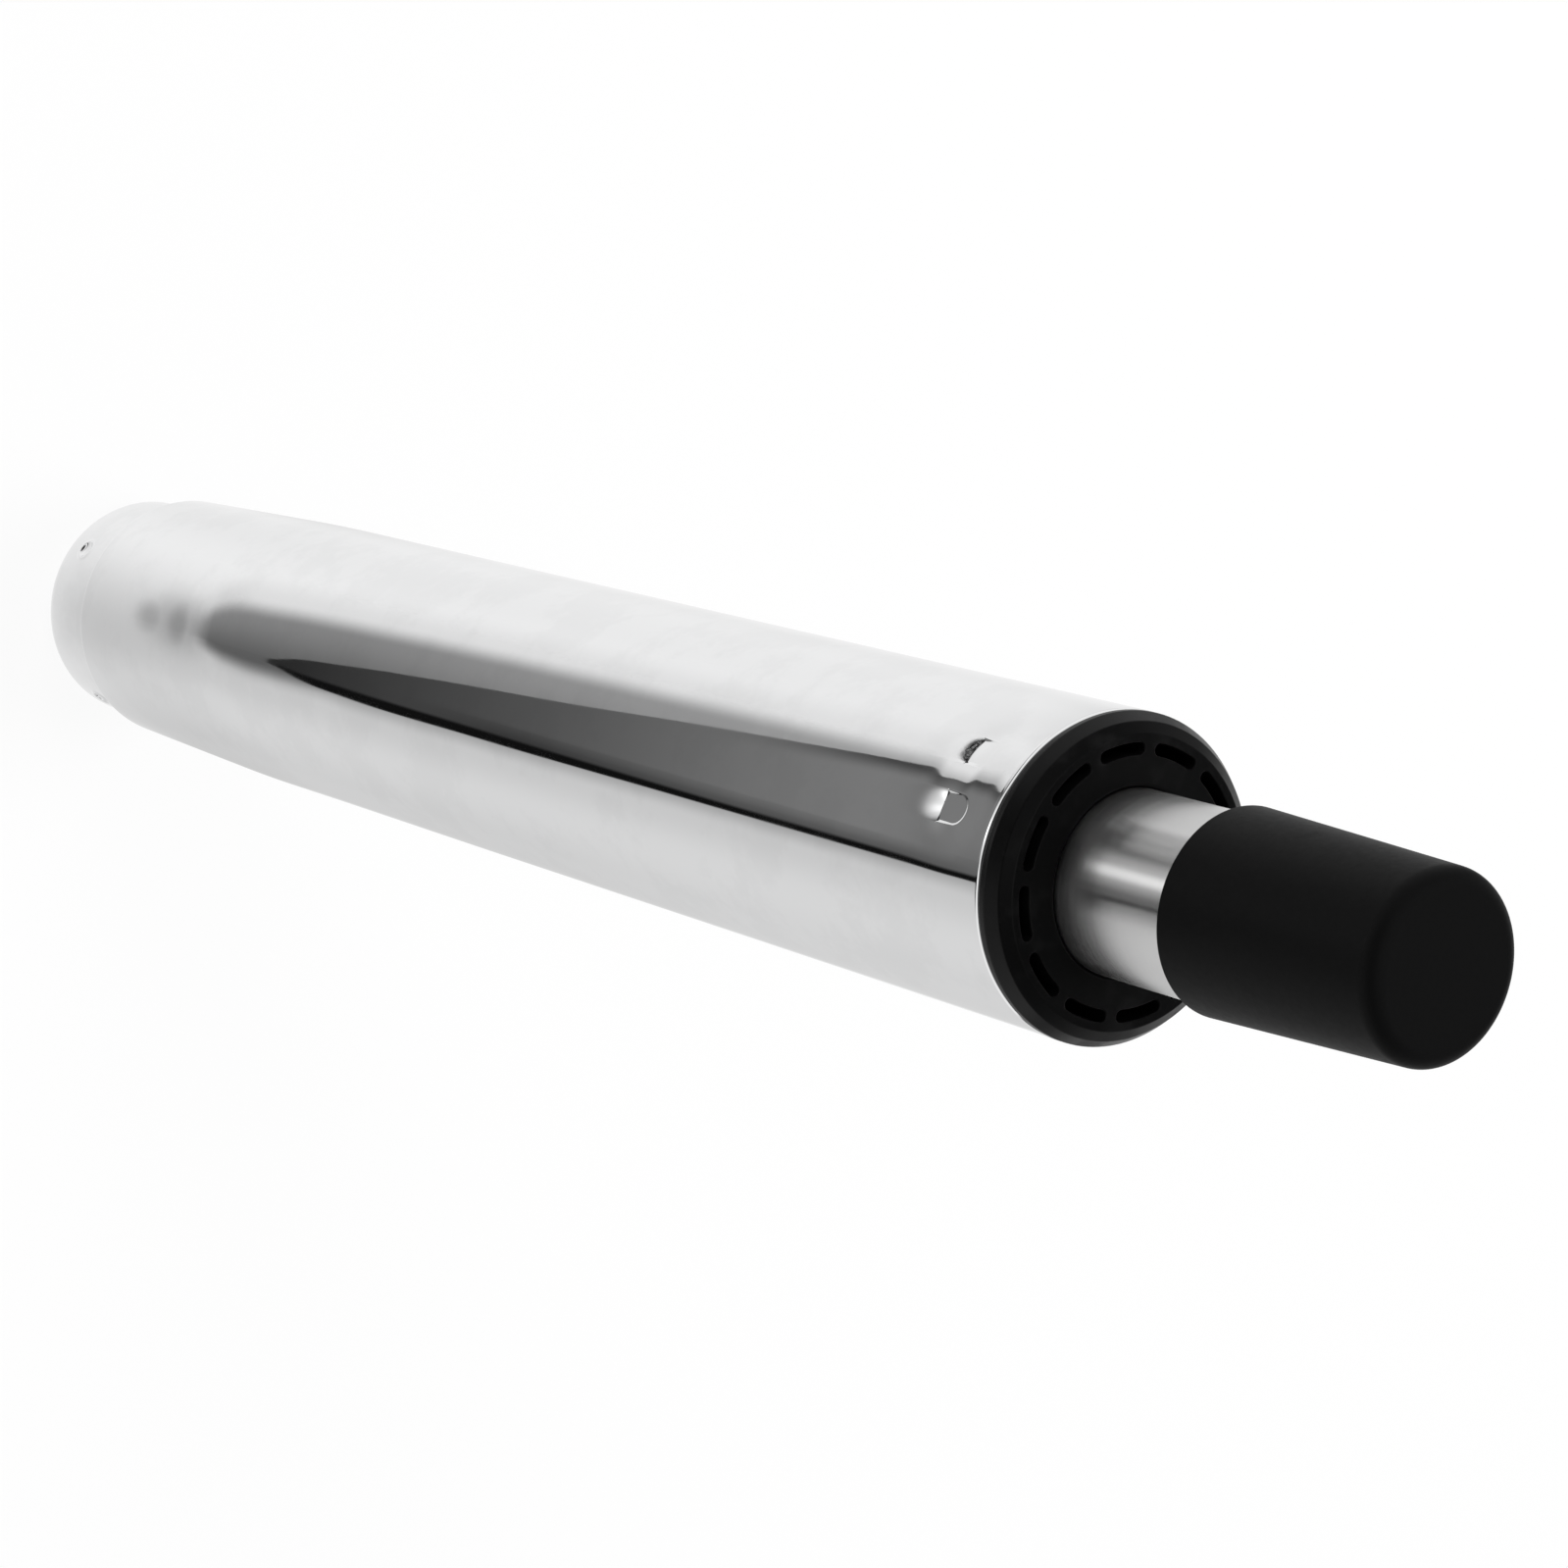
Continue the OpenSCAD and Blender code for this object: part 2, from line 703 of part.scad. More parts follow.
// Valve pin: sealing head below, waist past the port, stem up to the button
module valve_pin() {
    waist_r = pin_waist_d / 2;
    head_top_z = waist_low_z - (pin_head_d - pin_waist_d) / 4;
    profile = [
        [0, head_top_z - pin_head_h], [pin_head_d / 2, head_top_z - pin_head_h],
        [pin_head_d / 2, head_top_z], [waist_r, waist_low_z], [waist_r, waist_top_z],
        [pin_r, waist_top_z + pin_r - waist_r], [pin_r, button_z], [0, button_z]
    ];
    color("#d0d2d4")
        rotate_extrude() polygon(profile);
}

module release_button() {
    collar_top_z = valve_top_z - end_gap;
    profile = [
        [0, button_z], [button_collar_r, button_z], [button_collar_r, collar_top_z],
        [button_r, collar_top_z], [button_r, button_top_z - button_chamfer],
        [button_r - button_chamfer, button_top_z], [0, button_top_z]
    ];
    color("#c9c2a6")
        rotate_extrude() polygon(profile);
}

// Slip-on cap: tapered outside, its bore follows the spindle's cone
module protective_cap() {
    inner_top_z = cap_top_z - cap_top_t;
    slope = (cap_mouth_d - cap_top_d) / 2 / cap_len;
    turn_r = cap_mouth_d / 2 - slope * (cap_len - cap_fillet) - cap_fillet;
    bore_top_r = spindle_outer(spindle_top_z) + run_gap;
    profile = concat(
        [[spindle_outer(cap_z) + run_gap, cap_z], [cap_mouth_d / 2, cap_z]],
        arc([turn_r, cap_top_z - cap_fillet], cap_fillet, 0, 90),
        [[0, cap_top_z], [0, inner_top_z], [bore_top_r - cap_top_t, inner_top_z]],
        [[bore_top_r, inner_top_z - cap_top_t], [bore_top_r, spindle_top_z]],
        spindle_cone_z > cap_z ? [[spindle_r + run_gap, spindle_cone_z]] : []
    );
    color("#161616")
        rotate_extrude() polygon(profile);
}

outer_tube();
guide_bush();
base_plate();
lower_race();
ball_cage();
bearing_balls();
upper_race();
piston_rod();
clip_washer();
retaining_clip();
rubber_buffer();
piston();
piston_ring();
piston_nut();
spindle();
cylinder_liner();
rod_guide();
rod_seal();
seal_washer();
valve_body();
valve_rings();
pin_rings();
valve_pin();
release_button();
protective_cap();
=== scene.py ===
# %% [markdown]
# A chair's gas lift: a chromed column that wedges into the chair's foot, a black bush in its
# mouth, a ground steel spindle that slides and turns in the bush, and a black cap over the
# spindle's cone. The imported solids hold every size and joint, so they are loaded first, and
# each surface that shows is then made again as a fine mesh with its real finish.

import math

import bmesh
import bpy
import numpy as np
from mathutils import Matrix, Vector


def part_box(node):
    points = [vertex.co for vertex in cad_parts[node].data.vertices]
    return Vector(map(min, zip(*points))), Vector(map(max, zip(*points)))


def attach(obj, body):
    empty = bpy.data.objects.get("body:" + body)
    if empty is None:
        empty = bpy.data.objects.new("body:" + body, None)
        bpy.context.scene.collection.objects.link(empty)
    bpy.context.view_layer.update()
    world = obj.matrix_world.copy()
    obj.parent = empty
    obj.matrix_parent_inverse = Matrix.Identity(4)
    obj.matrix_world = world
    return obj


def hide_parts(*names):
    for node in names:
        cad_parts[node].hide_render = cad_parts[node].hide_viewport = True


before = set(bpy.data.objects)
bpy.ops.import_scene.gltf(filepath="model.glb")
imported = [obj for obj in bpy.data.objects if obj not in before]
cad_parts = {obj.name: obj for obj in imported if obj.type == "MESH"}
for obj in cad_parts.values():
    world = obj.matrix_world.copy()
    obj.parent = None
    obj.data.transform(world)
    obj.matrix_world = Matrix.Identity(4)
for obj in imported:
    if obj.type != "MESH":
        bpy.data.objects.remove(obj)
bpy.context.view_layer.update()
MM = 0.001

# %% [markdown]
# The camera looks down the column from the cap's end through a long lens, and it is rolled so
# that the column lies across the picture. Three angles could say that too, but a place, a line
# of sight and an up direction say it more directly.

# %% Camera
camera_place = Vector((36.11, -405.587, 759.624)) * MM
camera_look = Vector((-0.05421, 0.60402, -0.79513))
camera_up = Vector((-0.9398, -0.29993, -0.16377))
camera_data = bpy.data.cameras.new("photo_camera")
camera_data.lens = 95.425
camera_data.sensor_width = 36
camera_data.clip_start = 20 * MM
camera_data.clip_end = 50
camera = bpy.data.objects.new("photo_camera", camera_data)
bpy.context.scene.collection.objects.link(camera)
camera_right = camera_look.cross(camera_up).normalized()
camera_up = camera_right.cross(camera_look).normalized()
turn = Matrix((camera_right, camera_up, -camera_look.normalized())).transposed()
camera.matrix_world = Matrix.Translation(camera_place) @ turn.to_4x4()
bpy.context.scene.camera = camera
bpy.context.scene.view_settings.view_transform = "Standard"
print("camera at", [round(x, 3) for x in camera.location])

# %% [markdown]
# Node trees are easier to read when each node is made in one line. These helpers add a node,
# set its plain inputs and link the others. A finish that comes back in several materials is a
# node group, with sockets made through the group's interface.

# %% Node helpers
def add_node(tree, kind, settings=None, **inputs):
    node = tree.nodes.new("ShaderNode" + kind)
    for name, value in (settings or {}).items():
        setattr(node, name, value)
    for name, value in inputs.items():
        feed(tree, node, name.replace("_", " "), value)
    return node


def feed(tree, node, name, value):
    if name.isdigit():
        socket = node.inputs[int(name)]
    else:
        socket = node.inputs[name]
    if isinstance(value, bpy.types.NodeSocket):
        tree.links.new(value, socket)
    else:
        socket.default_value = value


def math_node(tree, operation, first, second=0.0):
    node = tree.nodes.new("ShaderNodeMath")
    node.operation = operation
    feed(tree, node, "0", first)
    feed(tree, node, "1", second)
    return node.outputs[0]


def new_group(name, inputs, output):
    tree = bpy.data.node_groups.new(name, "ShaderNodeTree")
    for socket_name, default in inputs.items():
        socket = tree.interface.new_socket(socket_name, in_out="INPUT", socket_type="NodeSocketFloat")
        socket.default_value = default
    tree.interface.new_socket(output, in_out="OUTPUT", socket_type="NodeSocketFloat")
    start = tree.nodes.new("NodeGroupInput")
    end = tree.nodes.new("NodeGroupOutput")
    return tree, start.outputs, end.inputs[0]


def use_group(tree, group, **inputs):
    node = tree.nodes.new("ShaderNodeGroup")
    node.node_tree = group
    for name, value in inputs.items():
        feed(tree, node, name.replace("_", " "), value)
    return node.outputs[0]


# %% [markdown]
# Two effects are enough for turned, drawn and moulded surfaces. The first is a noise that can
# be stretched: long round the axis it gives grinding lines, long along the axis it gives the
# waves of a drawn tube, and even in all directions it gives the grain of a mould. The second
# keeps only the peaks of such a noise, as smudges, dust and handling marks.

# %% Stretched grain and handling marks
def make_stretched_grain():
    sockets = {"Around": 100, "Along": 100, "Detail": 3}
    tree, given, result = new_group("stretched_grain", sockets, "Height")
    place = add_node(tree, "TexCoord").outputs["Object"]
    scale = add_node(tree, "CombineXYZ", X=given["Around"], Y=given["Around"], Z=given["Along"])
    stretched = add_node(tree, "VectorMath", {"operation": "MULTIPLY"})
    tree.links.new(place, stretched.inputs[0])
    tree.links.new(scale.outputs[0], stretched.inputs[1])
    noise = add_node(tree, "TexNoise", Vector=stretched.outputs[0], Scale=1.0, Detail=given["Detail"])
    tree.links.new(noise.outputs["Fac"], result)
    return tree


def make_handling_marks():
    tree, given, result = new_group("handling_marks", {"Size": 60, "Share": 0.3}, "Mask")
    place = add_node(tree, "TexCoord").outputs["Object"]
    broad = add_node(tree, "TexNoise", Vector=place, Scale=given["Size"], Detail=6, Roughness=0.65)
    low = math_node(tree, "SUBTRACT", 0.72, math_node(tree, "MULTIPLY", given["Share"], 0.4))
    high = math_node(tree, "ADD", low, 0.16)
    mask = add_node(tree, "MapRange", {"interpolation_type": "SMOOTHSTEP"}, Value=broad.outputs["Fac"])
    tree.links.new(low, mask.inputs["From Min"])
    tree.links.new(high, mask.inputs["From Max"])
    tree.links.new(mask.outputs[0], result)
    return tree


stretched_grain = make_stretched_grain()
handling_marks = make_handling_marks()
print("shader groups:", [g.name for g in bpy.data.node_groups])


# %% [markdown]
# Every finish is a Principled shader whose roughness, colour and bump vary a little over the
# surface. One function places the two groups, and each finish is then one call with its own
# values, in the words of the workshop.

# %% Finishes
def finish(name, colour, metal, rough, rough_vary, grain, bump_mm, mark=(60, 0.2), mark_colour=None):
    material = bpy.data.materials.new(name)
    material.use_nodes = True
    tree = material.node_tree
    shader = tree.nodes["Principled BSDF"]
    shader.inputs["Metallic"].default_value = metal
    height = use_group(tree, stretched_grain, Around=grain[0], Along=grain[1], Detail=grain[2])
    marks = use_group(tree, handling_marks, Size=mark[0], Share=mark[1])
    grain_part = math_node(tree, "MULTIPLY", height, rough_vary)
    mark_part = math_node(tree, "MULTIPLY", marks, rough_vary)
    low = rough - rough_vary / 2
    rough_sum = math_node(tree, "ADD", math_node(tree, "ADD", grain_part, low), mark_part)
    tree.links.new(rough_sum, shader.inputs["Roughness"])
    tint = add_node(tree, "Mix", {"data_type": "RGBA"})
    tree.links.new(marks, tint.inputs["Factor"])
    tint.inputs[6].default_value = (*colour, 1)
    tint.inputs[7].default_value = (*(mark_colour or [0.85 * c for c in colour]), 1)
    tree.links.new(tint.outputs[2], shader.inputs["Base Color"])
    bump = add_node(tree, "Bump", Strength=1.0, Distance=bump_mm * MM, Height=height)
    tree.links.new(bump.outputs[0], shader.inputs["Normal"])
    return material


def brushed_round(material, amount):
    """Grinding lines run round the axis, so the shine spreads along the axis."""
    tree = material.node_tree
    shader = tree.nodes["Principled BSDF"]
    around = add_node(tree, "Tangent", {"direction_type": "RADIAL", "axis": "Z"})
    tree.links.new(around.outputs[0], shader.inputs["Tangent"])
    shader.inputs["Anisotropic"].default_value = amount
    shader.inputs["Anisotropic Rotation"].default_value = 0.25


def matt(material, level):
    """Matt plastic sends back less mirror light than a polished one."""
    material.node_tree.nodes["Principled BSDF"].inputs["Specular IOR Level"].default_value = level


chrome_plate = finish(
    "chrome_plate", (0.835, 0.837, 0.841), metal=1, rough=0.03, rough_vary=0.02, grain=(55, 12, 2),
    bump_mm=0.006, mark=(75, 0.7), mark_colour=(0.805, 0.807, 0.811),
)
black_nylon = finish(
    "black_nylon", (0.0026, 0.0026, 0.0027), metal=0, rough=0.34, rough_vary=0.14, grain=(2200, 2200, 4),
    bump_mm=0.01, mark=(130, 0.5), mark_colour=(0.005, 0.005, 0.0051),
)
matt(black_nylon, 0.2)
ground_steel = finish(
    "ground_steel", (0.66, 0.658, 0.656), metal=1, rough=0.195, rough_vary=0.06, grain=(30, 1500, 6),
    bump_mm=0.002, mark=(120, 0.2),
)
brushed_round(ground_steel, 1.0)
cap_vinyl = finish(
    "cap_vinyl", (0.0042, 0.0042, 0.0043), metal=0, rough=0.5, rough_vary=0.12, grain=(900, 900, 5),
    bump_mm=0.02, mark=(90, 0.35), mark_colour=(0.006, 0.006, 0.006),
)
matt(cap_vinyl, 0.06)
zinc_plate = finish("zinc_plate", (0.62, 0.60, 0.52), 1, 0.34, 0.14, (600, 600, 4), 0.01)
bearing_steel = finish("bearing_steel", (0.70, 0.71, 0.72), 1, 0.14, 0.06, (60, 4000, 3), 0.002)
pressed_brass = finish("pressed_brass", (0.68, 0.50, 0.20), 1, 0.27, 0.1, (500, 500, 4), 0.006)
turned_brass = finish("turned_brass", (0.72, 0.54, 0.23), 1, 0.22, 0.1, (60, 3500, 3), 0.005)
hard_chrome = finish("hard_chrome", (0.78, 0.785, 0.79), 1, 0.08, 0.05, (40, 3000, 2), 0.002)
black_oxide = finish("black_oxide", (0.10, 0.098, 0.095), 1, 0.38, 0.12, (900, 900, 4), 0.006)
nitrile = finish("nitrile", (0.012, 0.012, 0.0125), 0, 0.62, 0.14, (1500, 1500, 5), 0.015)
turned_aluminium = finish("turned_aluminium", (0.78, 0.79, 0.80), 1, 0.25, 0.1, (60, 3800, 3), 0.005)
print("finishes:", len(bpy.data.materials))


# %% [markdown]
# Most pieces of a gas lift are turned, so most meshes are an outline carried round the axis.
# Outlines are written in millimetres as (radius, height). Real edges are never razor sharp:
# every corner is eased by a small curve, because that curve is what catches the light.

# %% Turning helpers
def eased(outline, ease, steps=3):
    soft = []
    count = len(outline)
    for i, corner in enumerate(outline):
        corner = np.array(corner, float)
        before = np.array(outline[i - 1], float) - corner
        after = np.array(outline[(i + 1) % count], float) - corner
        if corner[0] < 1e-6:
            soft.append(tuple(corner))
            continue
        start = before / np.linalg.norm(before) * min(ease, 0.4 * np.linalg.norm(before))
        end = after / np.linalg.norm(after) * min(ease, 0.4 * np.linalg.norm(after))
        for k in range(steps + 1):
            t = k / steps
            soft.append(tuple(corner + (1 - t) ** 2 * start + t ** 2 * end))
    return soft


def turned_mesh(mesh, rows, angles, closed=True):
    rings = []
    for r, z in rows:
        if np.max(r) < 1e-6:
            rings.append([mesh.verts.new((0, 0, z * MM))])
            continue
        radius = np.broadcast_to(r, len(angles))
        rings.append([
            mesh.verts.new((x * MM, y * MM, z * MM))
            for x, y in zip(radius * np.cos(angles), radius * np.sin(angles))
        ])
    pairs = list(zip(rings, rings[1:] + rings[:1])) if closed else list(zip(rings, rings[1:]))
    for low, high in pairs:
        if len(low) == 1 and len(high) == 1:
            continue
        for i in range(len(angles)):
            j = (i + 1) % len(angles)
            corners = [low[i % len(low)], low[j % len(low)], high[j % len(high)], high[i % len(high)]]
            corners = list(dict.fromkeys(corners))
            mesh.faces.new(corners)
    return rings


def finished_piece(name, mesh, material, body, node, sharp=40):
    bmesh.ops.remove_doubles(mesh, verts=mesh.verts, dist=1e-6)
    bmesh.ops.recalc_face_normals(mesh, faces=mesh.faces)
    data = bpy.data.meshes.new(name)
    mesh.to_mesh(data)
    mesh.free()
    data.shade_smooth()
    data.set_sharp_from_angle(angle=math.radians(sharp))
    data.materials.append(material)
    piece = bpy.data.objects.new(name, data)
    bpy.context.scene.collection.objects.link(piece)
    evened = piece.modifiers.new("even_normals", "WEIGHTED_NORMAL")
    evened.keep_sharp = True
    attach(piece, body)
    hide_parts(node)
    print(name, len(data.polygons), "faces")
    return piece


def even_angles(count):
    return np.arange(count) * 2 * math.pi / count


def turned_piece(name, outline, material, body, node, ease=0.15, count=192):
    mesh = bmesh.new()
    turned_mesh(mesh, eased(outline, ease), even_angles(count), closed=outline[0][0] > 0)
    return finished_piece(name, mesh, material, body, node)


def smooth_step(low, high, x):
    t = np.clip((x - low) / (high - low), 0, 1)
    return t * t * (3 - 2 * t)


# %% [markdown]
# The column is drawn steel tube: a straight barrel, a slim locking taper, and a neck that is
# rolled in over the base plate. Below its rim the wall is lanced, so that tongues of steel
# lock the bush, and punch marks on the neck hold the base plate. A lathe outline alone can't
# show those marks, so the outline's rows get a depth that depends on the angle as well, on a
# grid that is fine only near the marks. Each lanced tongue is a stake: an angle, the run over
# which its tongue rises back to the wall, and the depth and reach of the wall's roll below it.

# %% Column tube: sizes
tube_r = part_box("outer_tube")[1].x / MM
tube_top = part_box("outer_tube")[1].z / MM
tube_wall = 2
rim_chamfer = 0.4
rim_round = 0.8
neck_r = 21.65
neck_top = 18.3
neck_fillet = 4.5
foot_lip_r = 15.5
taper_low = 21.3
taper_low_r = 23.69
taper_top = 73.3
taper_blend = 9
dent_z = tube_top - 12.4
open_stake = (40, 0.26, 3.3)
shut_stake = (4, 0.2, 2.1)
stakes = ((267, *open_stake), (245, *shut_stake), (87, *open_stake), (65, *shut_stake))
dent_w = 4.6
dent_len = 5.6
tongue_step = 0.14
tongue_fall = 0.027
tongue_edge = 0.28
roll_w = 5.2
rim_side_reach = 0.5
halo_depth = 0.15
halo_reach = 3.5
halo_up = 3.5
crimp_angles = [254 + 90 * k for k in range(4)]
crimp_z = 9.9
crimp_ball = 2.7
crimp_depth = 0.72
crimp_lip = 0.18


# %% Column tube: depth of the marks
def turn_from(angles, centre):
    return (np.degrees(angles) - centre + 180) % 360 - 180


def dent_depths(angles, z, above_cut):
    depth = np.zeros(len(angles))
    v = z - dent_z
    for centre, rise_run, roll_depth, base_side_reach in stakes:
        u = np.radians(turn_from(angles, centre)) * tube_r
        halo = halo_depth * np.exp(-(u ** 2 + (v - halo_up) ** 2) / (2 * halo_reach ** 2))
        across = np.maximum(0, 1 - np.abs(2 * u / roll_w) ** 3)
        reach = rim_side_reach if above_cut else base_side_reach
        around = halo + roll_depth * across * math.exp(-abs(v) / reach)
        share = 0
        if above_cut:
            round_z = dent_len - dent_w / 2
            inside = dent_w / 2 - np.hypot(u, max(v - round_z, 0))
            share = smooth_step(-tongue_edge, tongue_edge, inside)
        tongue = roll_depth + tongue_step - tongue_fall * v
        tongue += (halo - tongue) * smooth_step(0, rise_run, v)
        depth += around * (1 - share) + tongue * share
    return depth


def crimp_depths(angles, z):
    depth = np.zeros(len(angles))
    for centre in crimp_angles:
        u = np.radians(turn_from(angles, centre)) * neck_r
        away = np.hypot(u, z - crimp_z)
        ball = np.sqrt(np.maximum(crimp_ball ** 2 - away ** 2, 0)) - (crimp_ball - crimp_depth)
        mouth = math.sqrt(crimp_ball ** 2 - (crimp_ball - crimp_depth) ** 2)
        depth += np.maximum(ball, 0) - crimp_lip * np.exp(-((away - mouth - 0.2) / 0.4) ** 2)
    return depth


# %% Column tube: mesh
def tube_angles():
    """Steps in tenths of a degree, even all round and finer near the marks."""
    steps = set(range(0, 3600, 20))
    for mark in [stake[0] for stake in stakes]:
        steps.update(range(10 * mark - 150, 10 * mark + 151, 5))
        steps.update(range(10 * mark - 70, 10 * mark + 71, 2))
    for mark in crimp_angles:
        steps.update(range(10 * mark - 90, 10 * mark + 91, 3))
    return np.radians(sorted({step % 3600 for step in steps})) / 10


def wall_radius(z):
    """The taper runs into the barrel without a crease."""
    below = np.clip(taper_top - z, -taper_blend, None)
    soft = (below + taper_blend) ** 2 / (4 * taper_blend)
    slope = (tube_r - taper_low_r) / (taper_top - taper_low)
    return tube_r - slope * np.where(below > taper_blend, below, soft)


def outer_rows(angles):
    rows = [(foot_lip_r, 0), (foot_lip_r + 0.8, 0)]
    turn_r = neck_r - neck_fillet
    for k in range(11):
        a = math.radians(-90 + 9 * k)
        rows.append((turn_r + neck_fillet * math.cos(a), neck_fillet + neck_fillet * math.sin(a)))
    rows += [(neck_r - crimp_depths(angles, z), z) for z in np.arange(6.7, 13.2, 0.13)]
    for k in range(15):
        t = k / 14
        step = (1 - math.cos(math.pi * t)) / 2
        rows.append((neck_r + (taper_low_r - neck_r) * step, neck_top + (taper_low - neck_top) * t))
    wall_zs = list(np.linspace(taper_low + 0.5, taper_top - taper_blend, 16))
    wall_zs += list(np.linspace(taper_top - taper_blend + 1, taper_top + taper_blend, 18))
    wall_zs += list(np.linspace(taper_top + taper_blend + 4, dent_z - 13, 40))
    rows += [(wall_radius(z), z) for z in wall_zs]
    low_zs = list(np.arange(dent_z - 12, dent_z - 4, 0.4))
    low_zs += list(np.arange(dent_z - 4, dent_z - 0.01, 0.16))
    rows += [(tube_r - dent_depths(angles, z, False), z) for z in low_zs + [dent_z]]
    high_zs = list(np.arange(dent_z + 0.02, dent_z + dent_len + 0.3, 0.14))
    high_zs += list(np.linspace(dent_z + dent_len + 0.5, tube_top - rim_round - 0.1, 12))
    rows += [(tube_r - dent_depths(angles, z, True), z) for z in high_zs]
    return rows


def column_tube():
    angles = tube_angles()
    rows = outer_rows(angles)
    in_r = tube_r - tube_wall
    for k in range(9):
        a = math.radians(11.25 * k)
        rim_r = tube_r - rim_round + rim_round * math.cos(a)
        rows.append((rim_r, tube_top - rim_round + rim_round * math.sin(a)))
    rows += [(in_r + rim_chamfer, tube_top), (in_r, tube_top - rim_chamfer)]
    rows += [(in_r, taper_top), (taper_low_r - tube_wall, taper_low), (neck_r - tube_wall, neck_top)]
    turn_r = neck_r - neck_fillet
    for k in range(7):
        a = math.radians(-15 * k)
        inner = neck_fillet - tube_wall
        rows.append((turn_r + inner * math.cos(a), neck_fillet + inner * math.sin(a)))
    rows += [(foot_lip_r, tube_wall)]
    mesh = bmesh.new()
    turned_mesh(mesh, rows, angles)
    return finished_piece("column_tube", mesh, chrome_plate, "column", "outer_tube", 30)


column_tube()

# %% [markdown]
# The bush is one moulding of black nylon. Its flange stands on the tube's rim: a narrow lip,
# two bevels, and a flat face with twelve arc slots that keep the wall thickness even. A slot
# with rounded lips can't be turned, so the face is laid out in twelve equal fields. In each
# field rings run from the slot's outline out to the field's border, and the turned part of
# the bush meets that border point for point.

# %% Guide bush: sizes
bush_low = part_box("guide_bush")[0].z / MM
face_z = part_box("guide_bush")[1].z / MM
lip_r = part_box("guide_bush")[1].x / MM
lip_top = tube_top + 1
bevel_r = 23.7
bevel_top = tube_top + 2.9
face_r = 22
bush_bore_r = 14.1
collar_r = 22.95
collar_low = tube_top - 32
foot_collar_top = bush_low + 12
core_r = 18
guide_len = 20
relief = 0.7
mouth_chamfer = 0.5
rib_count = 12
rib_thick = 2
slot_count = 12
slot_r = 19.8
slot_half = 0.95
slot_half_arc = math.radians(24.3 / 2) - math.asin(slot_half / slot_r)
slot_depth = 20
slot_ease = 0.16
arc_points = 13
end_points = 8


# %% Guide bush: one slotted field
def polar(r, angle, z):
    return (r * math.cos(angle) * MM, r * math.sin(angle) * MM, z * MM)


def slot_ring(out, z):
    """The slot's outline, grown by out: each side is an arc along the slot and a round end."""
    ring = []
    reach = slot_half + out
    for side in (1, -1):
        for k in range(arc_points):
            angle = side * slot_half_arc * (2 * k / (arc_points - 1) - 1)
            ring.append(polar(slot_r + side * reach, angle, z))
        end = side * slot_half_arc
        x, y = slot_r * math.cos(end), slot_r * math.sin(end)
        for k in range(1, end_points):
            a = end + math.pi * k / end_points + (0 if side == 1 else math.pi)
            ring.append(((x + reach * math.cos(a)) * MM, (y + reach * math.sin(a)) * MM, z * MM))
    return ring


def field_border(r_out, r_in, z):
    half = math.pi / slot_count
    ring = [polar(r_out, half * (2 * k / (arc_points - 1) - 1), z) for k in range(arc_points)]
    ring += [polar(r_out + (r_in - r_out) * k / end_points, half, z) for k in range(1, end_points)]
    ring += [polar(r_in, half * (1 - 2 * k / (arc_points - 1)), z) for k in range(arc_points)]
    ring += [polar(r_in + (r_out - r_in) * k / end_points, -half, z) for k in range(1, end_points)]
    return ring


def slotted_field(mesh, r_out, r_in, turn):
    rings = [slot_ring(0, face_z - slot_depth), slot_ring(0, face_z - slot_ease - 0.3)]
    for k in range(4):
        a = math.radians(30 * k)
        rings.append(slot_ring(slot_ease * (1 - math.cos(a)), face_z - slot_ease * (1 - math.sin(a))))
    rings.append(slot_ring(slot_ease + 0.12, face_z))
    rings.append(field_border(r_out, r_in, face_z))
    cos_t, sin_t = math.cos(turn), math.sin(turn)
    made = []
    for ring in rings:
        turned = [(x * cos_t - y * sin_t, x * sin_t + y * cos_t, z) for x, y, z in ring]
        made.append([mesh.verts.new(place) for place in turned])
    mesh.faces.new(made[0])
    for low, high in zip(made, made[1:]):
        for i in range(len(low)):
            j = (i + 1) % len(low)
            mesh.faces.new((low[i], low[j], high[j], high[i]))


# %% Guide bush: the turned body and its ribs
def bush_outline():
    mouth_r = bush_bore_r + mouth_chamfer
    relief_r = bush_bore_r + relief
    guide_low = bush_low + guide_len
    guide_high = face_z - guide_len
    groove_r = 21.6
    groove_low = dent_z - 0.3
    groove_top = dent_z + dent_len + 0.3
    return [
        (face_r, face_z), (bevel_r, bevel_top), (lip_r, lip_top), (lip_r, tube_top),
        (collar_r, tube_top), (collar_r, groove_top), (groove_r, groove_top), (groove_r, groove_low),
        (collar_r, groove_low), (collar_r, collar_low), (core_r, collar_low),
        (core_r, foot_collar_top), (collar_r, foot_collar_top), (collar_r, bush_low),
        (mouth_r, bush_low), (bush_bore_r, bush_low + mouth_chamfer), (bush_bore_r, guide_low),
        (relief_r, guide_low + relief), (relief_r, guide_high - relief), (bush_bore_r, guide_high),
        (bush_bore_r, face_z - mouth_chamfer), (mouth_r, face_z),
    ]


def bush_ribs(mesh):
    """Each rib runs a millimetre into the core and into both collars."""
    inner, outer = core_r - 1, collar_r - 0.3
    low, high = foot_collar_top - 1, collar_low + 1
    middle = Vector(((inner + outer) / 2, 0, (low + high) / 2)) * MM
    size = Vector((outer - inner, rib_thick, high - low)) * MM
    for angle in even_angles(rib_count):
        made = bmesh.ops.create_cube(mesh, size=1)["verts"]
        bmesh.ops.scale(mesh, vec=size, verts=made)
        bmesh.ops.translate(mesh, vec=middle, verts=made)
        cos_t, sin_t = math.cos(angle), math.sin(angle)
        for vert in made:
            x, y, z = vert.co
            vert.co = (x * cos_t - y * sin_t, x * sin_t + y * cos_t, z)


